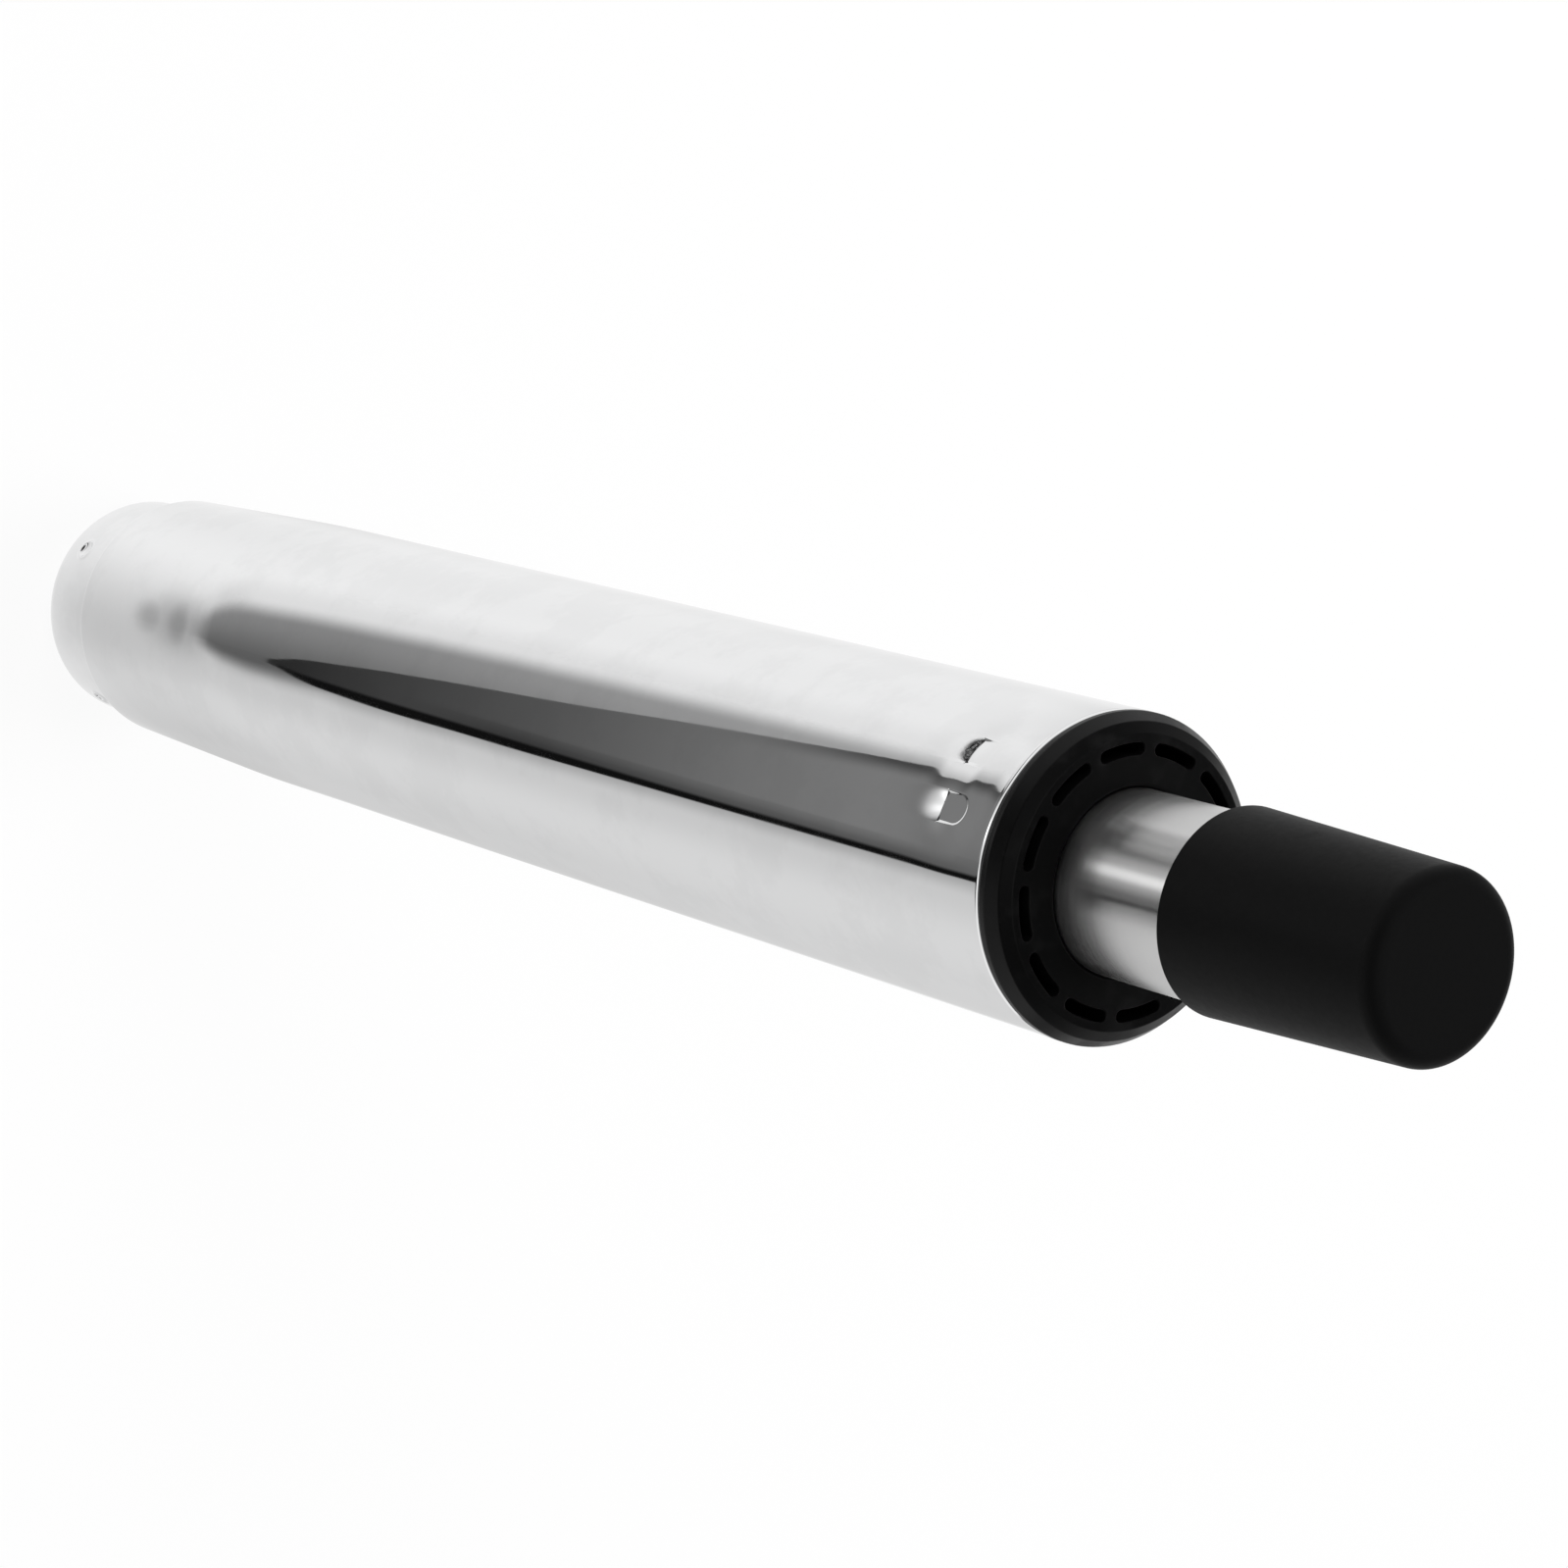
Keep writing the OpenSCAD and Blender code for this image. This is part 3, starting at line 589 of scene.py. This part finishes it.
def guide_bush():
    mesh = bmesh.new()
    outline = eased(bush_outline(), 0.14)
    per_field = arc_points - 1
    count = per_field * slot_count
    angles = (np.arange(count) / per_field - 0.5) * 2 * math.pi / slot_count
    rows = [(outline[0][0] - 0.3, face_z)] + outline + [(outline[-1][0] + 0.3, face_z)]
    turned_mesh(mesh, rows, angles, closed=False)
    for k in range(slot_count):
        slotted_field(mesh, rows[0][0], rows[-1][0], k * 2 * math.pi / slot_count)
    bush_ribs(mesh)
    return finished_piece("flanged_bush", mesh, black_nylon, "column", "guide_bush", 40)


guide_bush()

# %% [markdown]
# The spindle is the gas spring's own pressure tube, ground round so that it slides in the
# bush. Its top end is a slim cone that wedges into the seat plate, closed except for the
# release button's hole. The lower end is rolled in over the seals.

# %% Spindle
spindle_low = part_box("spindle")[0].z / MM
spindle_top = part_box("spindle")[1].z / MM
spindle_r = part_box("spindle")[1].x / MM
spindle_wall = 1.75
cone_slope = math.tan(math.radians(1.44))
cone_low = spindle_top - 30


def spindle_outer(z):
    return spindle_r - max(0, z - cone_low) * cone_slope


hole_r = 5.5
tip_edge = 0.8
rolled_edge = 1.8
rolled_wall = 1.5
rolled_r = 9.5
inner_top = spindle_top - 2
bore_r = spindle_r - spindle_wall
spindle_outline = [
    (rolled_r, spindle_low), (spindle_r - rolled_edge, spindle_low),
    (spindle_r, spindle_low + rolled_edge), (spindle_r, cone_low),
    (spindle_outer(spindle_top - tip_edge), spindle_top - tip_edge),
    (spindle_outer(spindle_top) - tip_edge, spindle_top), (hole_r, spindle_top), (hole_r, inner_top),
    (spindle_outer(inner_top) - spindle_wall, inner_top), (bore_r, cone_low),
    (bore_r, spindle_low + rolled_wall), (rolled_r, spindle_low + rolled_wall),
]
turned_piece("ground_spindle", spindle_outline, ground_steel, "gas_spindle", "spindle")

# %% [markdown]
# The cap is soft black plastic, slipped over the cone for the journey to the factory. It is
# a plain tapered cup with a thick rounded top. Its side is moulded a little off its bore, so it
# leans by the width of a hair.

# %% Protective cap
cap_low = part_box("protective_cap")[0].z / MM
cap_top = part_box("protective_cap")[1].z / MM
cap_slack = 0.19
cap_mouth_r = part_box("protective_cap")[1].x / MM - cap_slack
cap_top_r = 13.9
cap_fillet = 2.6
cap_wall = 1.8
cap_gap = 0.1
cap_inner_top = cap_top - cap_wall
cap_bore_top = spindle_outer(spindle_top) + cap_gap
cap_lean = math.radians(198)
mouth_lean = 0.15
top_lean = 0.24


def cap_outline():
    slope = (cap_mouth_r - cap_top_r) / (cap_top - cap_low)
    turn_r = cap_mouth_r - slope * (cap_top - cap_fillet - cap_low) - cap_fillet
    outline = [(0, cap_top)]
    for k in range(13):
        a = math.radians(90 - 7.5 * k)
        edge_z = cap_top - cap_fillet + cap_fillet * math.sin(a)
        outline.append((turn_r + cap_fillet * math.cos(a), edge_z))
    outline += [(cap_mouth_r, cap_low), (spindle_outer(cap_low) + cap_gap, cap_low)]
    outline += [(spindle_r + cap_gap, cone_low), (cap_bore_top, spindle_top)]
    outline += [(cap_bore_top, cap_inner_top - cap_wall), (cap_bore_top - cap_wall, cap_inner_top)]
    outline.append((0, cap_inner_top))
    return outline


def slip_cap():
    angles = even_angles(192)
    rows = []
    for r, z in eased(cap_outline(), 0.2):
        share = (z - cap_low) / (cap_top - cap_low)
        side_r = cap_mouth_r - share * (cap_mouth_r - cap_top_r)
        outside = r > side_r - 0.5 or z > cap_inner_top + 0.1
        lean = mouth_lean + (top_lean - mouth_lean) * share
        if r < 1 or not outside:
            lean = 0
        rows.append((r + lean * np.cos(angles - cap_lean), z))
    mesh = bmesh.new()
    turned_mesh(mesh, rows, angles, closed=False)
    return finished_piece("slip_cap", mesh, cap_vinyl, "cap", "protective_cap")


slip_cap()

# %% [markdown]
# The release button is a turned pin with a collar that keeps it in the valve. The seat's
# lever presses its flat top.

# %% Release button
button_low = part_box("release_button")[0].z / MM
button_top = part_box("release_button")[1].z / MM
button_r = 5.4
button_edge = 1
button_collar_r = 6.2
collar_top = inner_top - 0.3
button_outline = [
    (0, button_top), (button_r - button_edge, button_top), (button_r, button_top - button_edge),
    (button_r, collar_top), (button_collar_r, collar_top), (button_collar_r, button_low),
    (0, button_low),
]
turned_piece(
    "button_pin", button_outline, zinc_plate, "release", "release_button",
    ease=0.2, count=96,
)

# %% [markdown]
# The pieces inside are seen only with the cap off, from below, or with the column cut open.
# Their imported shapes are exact, so they stay and only get their finishes.

# %% Inner pieces
inner_finishes = {
    "base_plate": zinc_plate, "lower_race": bearing_steel, "upper_race": bearing_steel,
    "ball_cage": pressed_brass, "bearing_balls": bearing_steel, "piston_rod": hard_chrome,
    "clip_washer": zinc_plate, "retaining_clip": black_oxide, "rubber_buffer": nitrile,
    "piston": turned_brass, "piston_ring": nitrile, "piston_nut": zinc_plate,
    "cylinder_liner": hard_chrome, "rod_guide": turned_aluminium, "rod_seal": nitrile,
    "seal_washer": zinc_plate, "valve_body": turned_brass, "valve_rings": nitrile,
    "pin_rings": nitrile, "valve_pin": bearing_steel,
}
for node_name, material in inner_finishes.items():
    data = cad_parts[node_name].data
    data.materials.clear()
    data.materials.append(material)
print("inner pieces finished:", len(inner_finishes))


# %% [markdown]
# The floor is a pale studio sweep. Camera and mirror rays see it almost as pure white light,
# and a small share stays an ordinary matt surface, so that the column keeps a soft shadow.
# The world is white behind the object and lights it with an even grey. Mirror rays alone see
# it white along the horizon and dark overhead, as a studio ceiling is, with one large soft light
# straight above: that light and that dark are painted reflections, and they light nothing.

# %% Floor and world
floor_glow = 0.92
floor_half = 30
light_level = 0.5


def seen_directly(tree):
    path = add_node(tree, "LightPath")
    seen = math_node(tree, "MAXIMUM", path.outputs["Is Camera Ray"], path.outputs["Is Glossy Ray"])
    return math_node(tree, "MAXIMUM", seen, path.outputs["Is Transmission Ray"])


def mixed_shader(tree, share, first, second):
    mix = add_node(tree, "MixShader")
    feed(tree, mix, "0", share)
    tree.links.new(first.outputs[0], mix.inputs[1])
    tree.links.new(second.outputs[0], mix.inputs[2])
    return mix


def studio_floor():
    material = bpy.data.materials.new("studio_floor")
    material.use_nodes = True
    tree = material.node_tree
    tree.nodes.clear()
    paper = add_node(tree, "BsdfDiffuse", Color=(0.9, 0.9, 0.9, 1))
    glow = add_node(tree, "Emission", Color=(1, 1, 1, 1), Strength=1.0)
    share = math_node(tree, "MULTIPLY", seen_directly(tree), floor_glow)
    out = add_node(tree, "OutputMaterial")
    tree.links.new(mixed_shader(tree, share, paper, glow).outputs[0], out.inputs[0])
    data = bpy.data.meshes.new("studio_floor")
    signs = ((-1, -1), (1, -1), (1, 1), (-1, 1))
    corners = [(floor_half * x, floor_half * y, 0) for x, y in signs]
    data.from_pydata(corners, [], [(0, 1, 2, 3)])
    data.materials.append(material)
    floor = bpy.data.objects.new("studio_floor", data)
    bpy.context.scene.collection.objects.link(floor)


def height_ramp(tree, height, low, high, start, end):
    ramp_node = add_node(tree, "MapRange", {"interpolation_type": "SMOOTHSTEP"}, Value=height)
    for name, value in (("From Min", low), ("From Max", high), ("To Min", start), ("To Max", end)):
        ramp_node.inputs[name].default_value = value
    return ramp_node.outputs[0]


def studio_world():
    world = bpy.data.worlds.new("studio")
    bpy.context.scene.world = world
    world.use_nodes = True
    tree = world.node_tree
    tree.nodes.clear()
    path = add_node(tree, "LightPath")
    direction = add_node(tree, "TexCoord").outputs["Generated"]
    height = add_node(tree, "SeparateXYZ", Vector=direction).outputs["Z"]
    # Only mirror rays see these two ramps: a painted reflection of a dark ceiling and of a bright patch
    # straight above.
    horizon = height_ramp(tree, height, low=0.1, high=0.42, start=0.95, end=0.06)
    zenith = height_ramp(tree, height, low=0.88, high=0.985, start=0.0, end=0.7)
    light = add_node(tree, "Background", Color=(1, 1, 1, 1), Strength=light_level)
    around = math_node(tree, "ADD", horizon, zenith)
    mirror = add_node(tree, "Background", Color=(1, 1, 1, 1), Strength=around)
    white = add_node(tree, "Background", Color=(1, 1, 1, 1), Strength=1.0)
    unseen = mixed_shader(tree, path.outputs["Is Glossy Ray"], light, mirror)
    seen = mixed_shader(tree, path.outputs["Is Camera Ray"], unseen, white)
    out = add_node(tree, "OutputWorld")
    tree.links.new(seen.outputs[0], out.inputs[0])


studio_floor()
studio_world()


# %% [markdown]
# Two soft lamps give the black pieces their shape: a large one behind the column, which
# leaves the near side of the bush's face in the spindle's shade, and a weaker one in front.

# %% Lamps
def around_object(azimuth, height):
    a, e = math.radians(azimuth), math.radians(height)
    return Vector((math.cos(a) * math.cos(e), math.sin(a) * math.cos(e), math.sin(e)))


def soft_lamp(name, azimuth, height, distance, size, watts):
    data = bpy.data.lights.new(name, "AREA")
    data.shape = "DISK"
    data.size = size
    data.energy = watts
    lamp = bpy.data.objects.new(name, data)
    direction = around_object(azimuth, height)
    lamp.location = Vector((0, 0, 0.2)) + direction * distance
    lamp.rotation_mode = "QUATERNION"
    lamp.rotation_quaternion = direction.to_track_quat("Z", "Y")
    lamp.visible_glossy = False
    bpy.context.scene.collection.objects.link(lamp)


soft_lamp("rear_lamp", azimuth=120, height=55, distance=1.4, size=0.8, watts=12)
soft_lamp("front_lamp", azimuth=215, height=45, distance=1.4, size=0.6, watts=5)


# %% [markdown]
# Chrome is only as interesting as what stands round it. In the photograph the column mirrors
# a dark shape that lies in front of it: a soft grey band, a darker lance inside it, and a
# black line along the lance's lower edge. Seen from the camera, every mirror ray from the
# upright wall goes down to the floor, so flat cards on the floor paint those shapes as
# reflections. They are seen by mirror rays alone and cast no shadow: every card is a painted
# reflection. A card is a grid whose vertices carry its tone and, as alpha, how dense it is
# there, so that an edge can be soft.

# %% Studio cards
def card_material():
    material = bpy.data.materials.new("painted_reflection_card")
    material.use_nodes = True
    tree = material.node_tree
    tree.nodes.clear()
    tone = add_node(tree, "Attribute", {"attribute_name": "tone"})
    clear = add_node(tree, "BsdfTransparent")
    # The card glows with its own tone, and only mirror rays see it: a painted reflection.
    paper = add_node(tree, "Emission", Color=tone.outputs["Color"], Strength=1.0)
    out = add_node(tree, "OutputMaterial")
    tree.links.new(mixed_shader(tree, tone.outputs["Alpha"], clear, paper).outputs[0], out.inputs[0])
    return material


painted_reflection_card = card_material()


def card(name, place, shade, along=64, across=24):
    """A grid over (s, t): place gives millimetres, shade gives the tone and how dense it is."""
    places, colours, faces = [], [], []
    for i in range(along):
        for j in range(across):
            s, t = i / (along - 1), j / (across - 1)
            places.append([v * MM for v in place(s, t)])
            tone, density = shade(s, t)
            colours.append((tone, tone, tone, density))
    for i in range(along - 1):
        for j in range(across - 1):
            a = i * across + j
            faces.append((a, a + 1, a + across + 1, a + across))
    data = bpy.data.meshes.new(name)
    data.from_pydata(places, [], faces)
    layer = data.attributes.new("tone", "FLOAT_COLOR", "POINT")
    layer.data.foreach_set("color", np.array(colours, np.float32).ravel())
    data.materials.append(painted_reflection_card)
    made = bpy.data.objects.new(name, data)
    bpy.context.scene.collection.objects.link(made)
    # Only mirror rays see a card, so it paints a reflection and casts no shade.
    for ray in ("camera", "diffuse", "transmission", "volume_scatter", "shadow"):
        setattr(made, "visible_" + ray, False)


def ramp(low, high, x):
    t = min(max((x - low) / (high - low), 0), 1)
    return t * t * (3 - 2 * t)


def mixed(first, second, share):
    return first + (second - first) * share


def floor_card(name, near, far, first, last, shade, lift, along=64, across=32):
    """A card round the column, from near to far.

    First and last give its azimuths at a distance r, and shade is of (azimuth, r).
    """
    def spread(s, t):
        r = mixed(near, far, s)
        return mixed(first(r), last(r), t), r

    def place(s, t):
        azimuth, r = spread(s, t)
        a = math.radians(azimuth)
        return r * math.cos(a), r * math.sin(a), lift

    card(name, place, lambda s, t: shade(*spread(s, t)), along, across)


def curtain(name, first, last, distance, low, high, tone):
    def place(s, t):
        a = math.radians(mixed(first, last, s))
        return distance * math.cos(a), distance * math.sin(a), mixed(low, high, t)

    def shade(s, t):
        sides = ramp(0, 0.2, s) * ramp(1, 0.8, s)
        return tone, sides * ramp(0, 0.04, t) * ramp(1, 0.85, t)

    # A standing card that only mirror rays see: a painted dark reflection.
    card(name, place, shade)


def curve_through(*pairs):
    """A smooth curve through a few points, level beyond its ends."""
    xs, ys = np.array(pairs, float).T
    slopes = np.gradient(ys, xs)

    def curve(x):
        i = int(np.clip(np.searchsorted(xs, x) - 1, 0, len(xs) - 2))
        span = xs[i + 1] - xs[i]
        t = min(max((x - xs[i]) / span, 0), 1)
        start = (1 + 2 * t) * (1 - t) ** 2 * ys[i] + t * (1 - t) ** 2 * span * slopes[i]
        return start + t * t * (3 - 2 * t) * ys[i + 1] + t * t * (t - 1) * span * slopes[i + 1]

    return curve


# %% [markdown]
# The lower side of the column mirrors a pale grey table, painted as a reflection on a card that
# only mirror rays see. Next to the dark shape it starts darker, a painted shade, and soon evens
# out. Near the foot the grey begins softly, with a little painted shade close to the foot.

# %% Grey table
line_top = curve_through((83, 290), (89, 292), (100, 293.6), (134, 295.7), (190, 297.9), (260, 298),
                         (290, 298.4), (330, 295))
line_low = curve_through((83, 290.5), (89, 296), (100, 299.6), (134, 301.9), (190, 302.1), (260, 301.9),
                         (330, 302))
band_low = curve_through((60, 287), (66, 293), (74, 296.7), (90, 298), (110, 299), (330, 299))


table_tone = 0.68
foot_tone = 0.67
beside_line_tone = 0.425
table_near = 12
table_far = 700
table_first = 225
table_last = 440


def table_shade(azimuth, r):
    past = azimuth - max(line_low(r), band_low(r))
    # Painted shade: the mirrored grey is darker next to the black line and evens out away from it.
    near_line = mixed(foot_tone, beside_line_tone, ramp(60, 78, r))
    tone = mixed(near_line, table_tone, ramp(-2, 12, past)) + 0.1 * ramp(10, 40, past)
    tone -= 0.075 * ramp(42, 85, past) + 0.03 * ramp(85, 115, past)
    tone += 0.045 * ramp(120, 220, r) * ramp(30, 80, past)
    # Painted shade close to the foot, where the lower wall mirrors the floor beside it.
    tone -= 0.05 * ramp(75, 45, r) * ramp(29, 37, r)
    from_foot = ramp(60, 100, r)
    density = ramp(mixed(228, 286, from_foot), mixed(300, 292, from_foot), azimuth)
    from_foot = ramp(60, 110, r)
    density *= ramp(mixed(426, table_last, from_foot), mixed(412, 428, from_foot), azimuth)
    return tone, density * ramp(table_far, 400, r) * ramp(17, 31, r)


floor_card(
    "painted_table_reflection", table_near, table_far, lambda r: table_first, lambda r: table_last, table_shade,
    lift=0.1, along=140, across=140,
)

# %% [markdown]
# The dark shape itself, painted into the reflections. The grey band starts as a soft round end
# near the foot, and its upper edge has a long faint tail. The lance starts as a point. Where it
# is far from the column it turns bright in the middle, a painted highlight, and its two sides
# stay dark: the spindle mirrors that end.

# %% Dark shape
band_top = curve_through((62, 271), (65, 263), (70, 257), (79, 252.9), (111, 244.8), (147, 239.1),
                         (190, 234.9), (254, 230.8), (265, 231), (274, 237), (286, 238), (330, 229))
lance_top = curve_through((81.5, 289), (85.2, 285), (100, 277.6), (122, 269.8), (161, 259.2),
                          (190, 250.6), (223, 242.8), (254, 236.8), (265, 236), (274, 240.5),
                          (286, 241), (330, 229))
lance_tone = curve_through((88, 0.027), (161, 0.109), (223, 0.198), (255, 0.222), (283, 0.228),
                           (314, 0.58), (337, 0.76), (400, 1))
band_tone = 0.28
line_tone = 0.006
band_tail = 32
far_end = 900
far_fade = 600


def band_shade(azimuth, r):
    past = azimuth - band_top(r)
    share = past / (band_low(r) - band_top(r))
    density = mixed(0.2 * ramp(-band_tail, -6, past), 1, ramp(-8, 8, past))
    soft = mixed(6.5, 1.5, ramp(85, 108, r))
    density *= ramp(soft, -soft, azimuth - band_low(r))
    tone = band_tone + 0.0009 * max(0, r - 100) - 0.165 * ramp(0, 1, share)
    return tone, density * ramp(56.8, 65.5, r)


def lance_shade(azimuth, r):
    across = (azimuth - lance_top(r)) / (line_top(r) - lance_top(r) + 0.01)
    to_line = line_top(r) - azimuth
    tone = lance_tone(r) * (1 - 0.8 * ramp(190, 265, r) * ramp(0.2, 0, across))
    tone *= 1 - 0.5 * ramp(110, 150, r) * ramp(12, 1, to_line)
    # Painted highlight: the bright middle of the lance's far end, which the spindle mirrors.
    bright = lance_tone(r) + 1.3 * ramp(290, 380, r) * ramp(258, 267, azimuth) * ramp(278, 269, azimuth)
    window = ramp(240, 260, azimuth) * ramp(291, 272, azimuth)
    return mixed(tone, mixed(0.14, bright, window), ramp(255, 300, r)), ramp(far_end, far_fade, r)


def band_first(r):
    return band_top(r) - band_tail


def band_last(r):
    return band_low(r) + 7


def line_first(r):
    return line_top(r) - 2


def line_last(r):
    return line_low(r) + 1


def line_shade(azimuth, r):
    sides = ramp(-1.6, 1, azimuth - line_top(r)) * ramp(0.8, -0.8, azimuth - line_low(r))
    return line_tone, sides * ramp(far_end, far_fade, r)


floor_card("grey_band", 56, 330, band_first, band_last, band_shade, lift=0.3, along=120, across=72)
floor_card("dark_lance", 81.5, far_end, lance_top, line_low, lance_shade, lift=0.6, along=240, across=60)
floor_card("black_line", 84, far_end, line_first, line_last, line_shade, lift=0.9, along=160, across=16)

# %% [markdown]
# Two faint round shades lie near the foot, in a soft grey haze: all three are painted dark
# reflections, on a card that only mirror rays see. Each is a distance, half a width in distance
# and in azimuth, and how dense it is.

# %% Foot shades
foot_azimuth = 281
foot_shade_tone = 0.2
foot_shades = ((48.2, 5.4, 19, 0.54), (54.6, 6, 27, 0.74), (55.5, 14, 30, 0.5))


def foot_shade(azimuth, r):
    density = 0
    for middle, half_r, half_azimuth, dense in foot_shades:
        away = math.hypot((r - middle) / half_r, (azimuth - foot_azimuth) / half_azimuth)
        density = max(density, dense * ramp(1, 0.1, away))
    return foot_shade_tone, density


floor_card(
    "foot_shade", 41, 70, lambda r: foot_azimuth - 33, lambda r: foot_azimuth + 33, foot_shade,
    lift=1.2, along=80, across=48,
)

# %% [markdown]
# The upper side of the column mirrors the floor behind it a shade less than white, though the
# floor itself is white: the grey is a painted reflection, on a card that only mirror rays see.

# %% Floor behind the column
rear_reflection_tone = 0.6
rear_reflection_first = 85
rear_reflection_last = 228
rear_reflection_far = 560


def rear_shade(azimuth, r):
    # Painted reflection: a grey over the white floor, denser near the column, with a denser patch that
    # the upper rim mirrors.
    density = mixed(0.2, 0.07, ramp(135, 165, azimuth)) * mixed(2.5, 1, ramp(35, 95, r))
    density += 0.42 * ramp(258, 300, r) * ramp(120, 150, azimuth) * ramp(214, 204, azimuth)
    density *= ramp(rear_reflection_first, 100, azimuth) * ramp(rear_reflection_last, 190, azimuth)
    return rear_reflection_tone, density * ramp(rear_reflection_far, 320, r)


floor_card(
    "painted_rear_reflection", 10, rear_reflection_far, lambda r: rear_reflection_first, lambda r: rear_reflection_last, rear_shade,
    lift=0.15, along=90, across=60,
)

# %% [markdown]
# In the mirror rays the rest of the studio is dark behind the camera and bright elsewhere.
# Black flags stand and lie there, seen by mirror rays alone: they are painted dark reflections
# and cast no shade. They darken the bush's bevels and one side of the stake marks, and from
# other sides they draw the dark streaks that make chrome look like metal.

# %% Flags
def floor_flag(edges, distances, tone):
    """Edges and distances: where the flag begins, is full, is still full, and ends."""
    def shade(azimuth, r):
        sides = ramp(edges[0], edges[1], azimuth) * ramp(edges[3], edges[2], azimuth)
        return tone, sides * ramp(distances[0], distances[1], r) * ramp(distances[3], distances[2], r)

    near, far = distances[0], distances[3]
    # A flag is a card that only mirror rays see: a painted dark reflection.
    floor_card("floor_flag", near, far, lambda r: edges[0], lambda r: edges[3], shade, 0.2)


floor_flag((201, 213, 225, 238), (298, 330, 390, 540), 0.02)
floor_flag((218, 230, 241, 250), (306, 342, 600, 900), 0.03)
floor_flag((282, 290, 301, 324), (300, 380, 600, 900), 0.03)
curtain("camera_flag", 238, 296, distance=900, low=330, high=1100, tone=0.03)
wall_away = 3000
for first, last, tone in ((18, 44, 0.12), (58, 66, 0.03), (118, 150, 0.1)):
    soft = 0.3 * (last - first)
    floor_flag((first, first + soft, last - soft, last), (700, 980, 2650, wall_away), tone)
    curtain("far_flag", first, last, distance=wall_away, low=0, high=900, tone=tone)
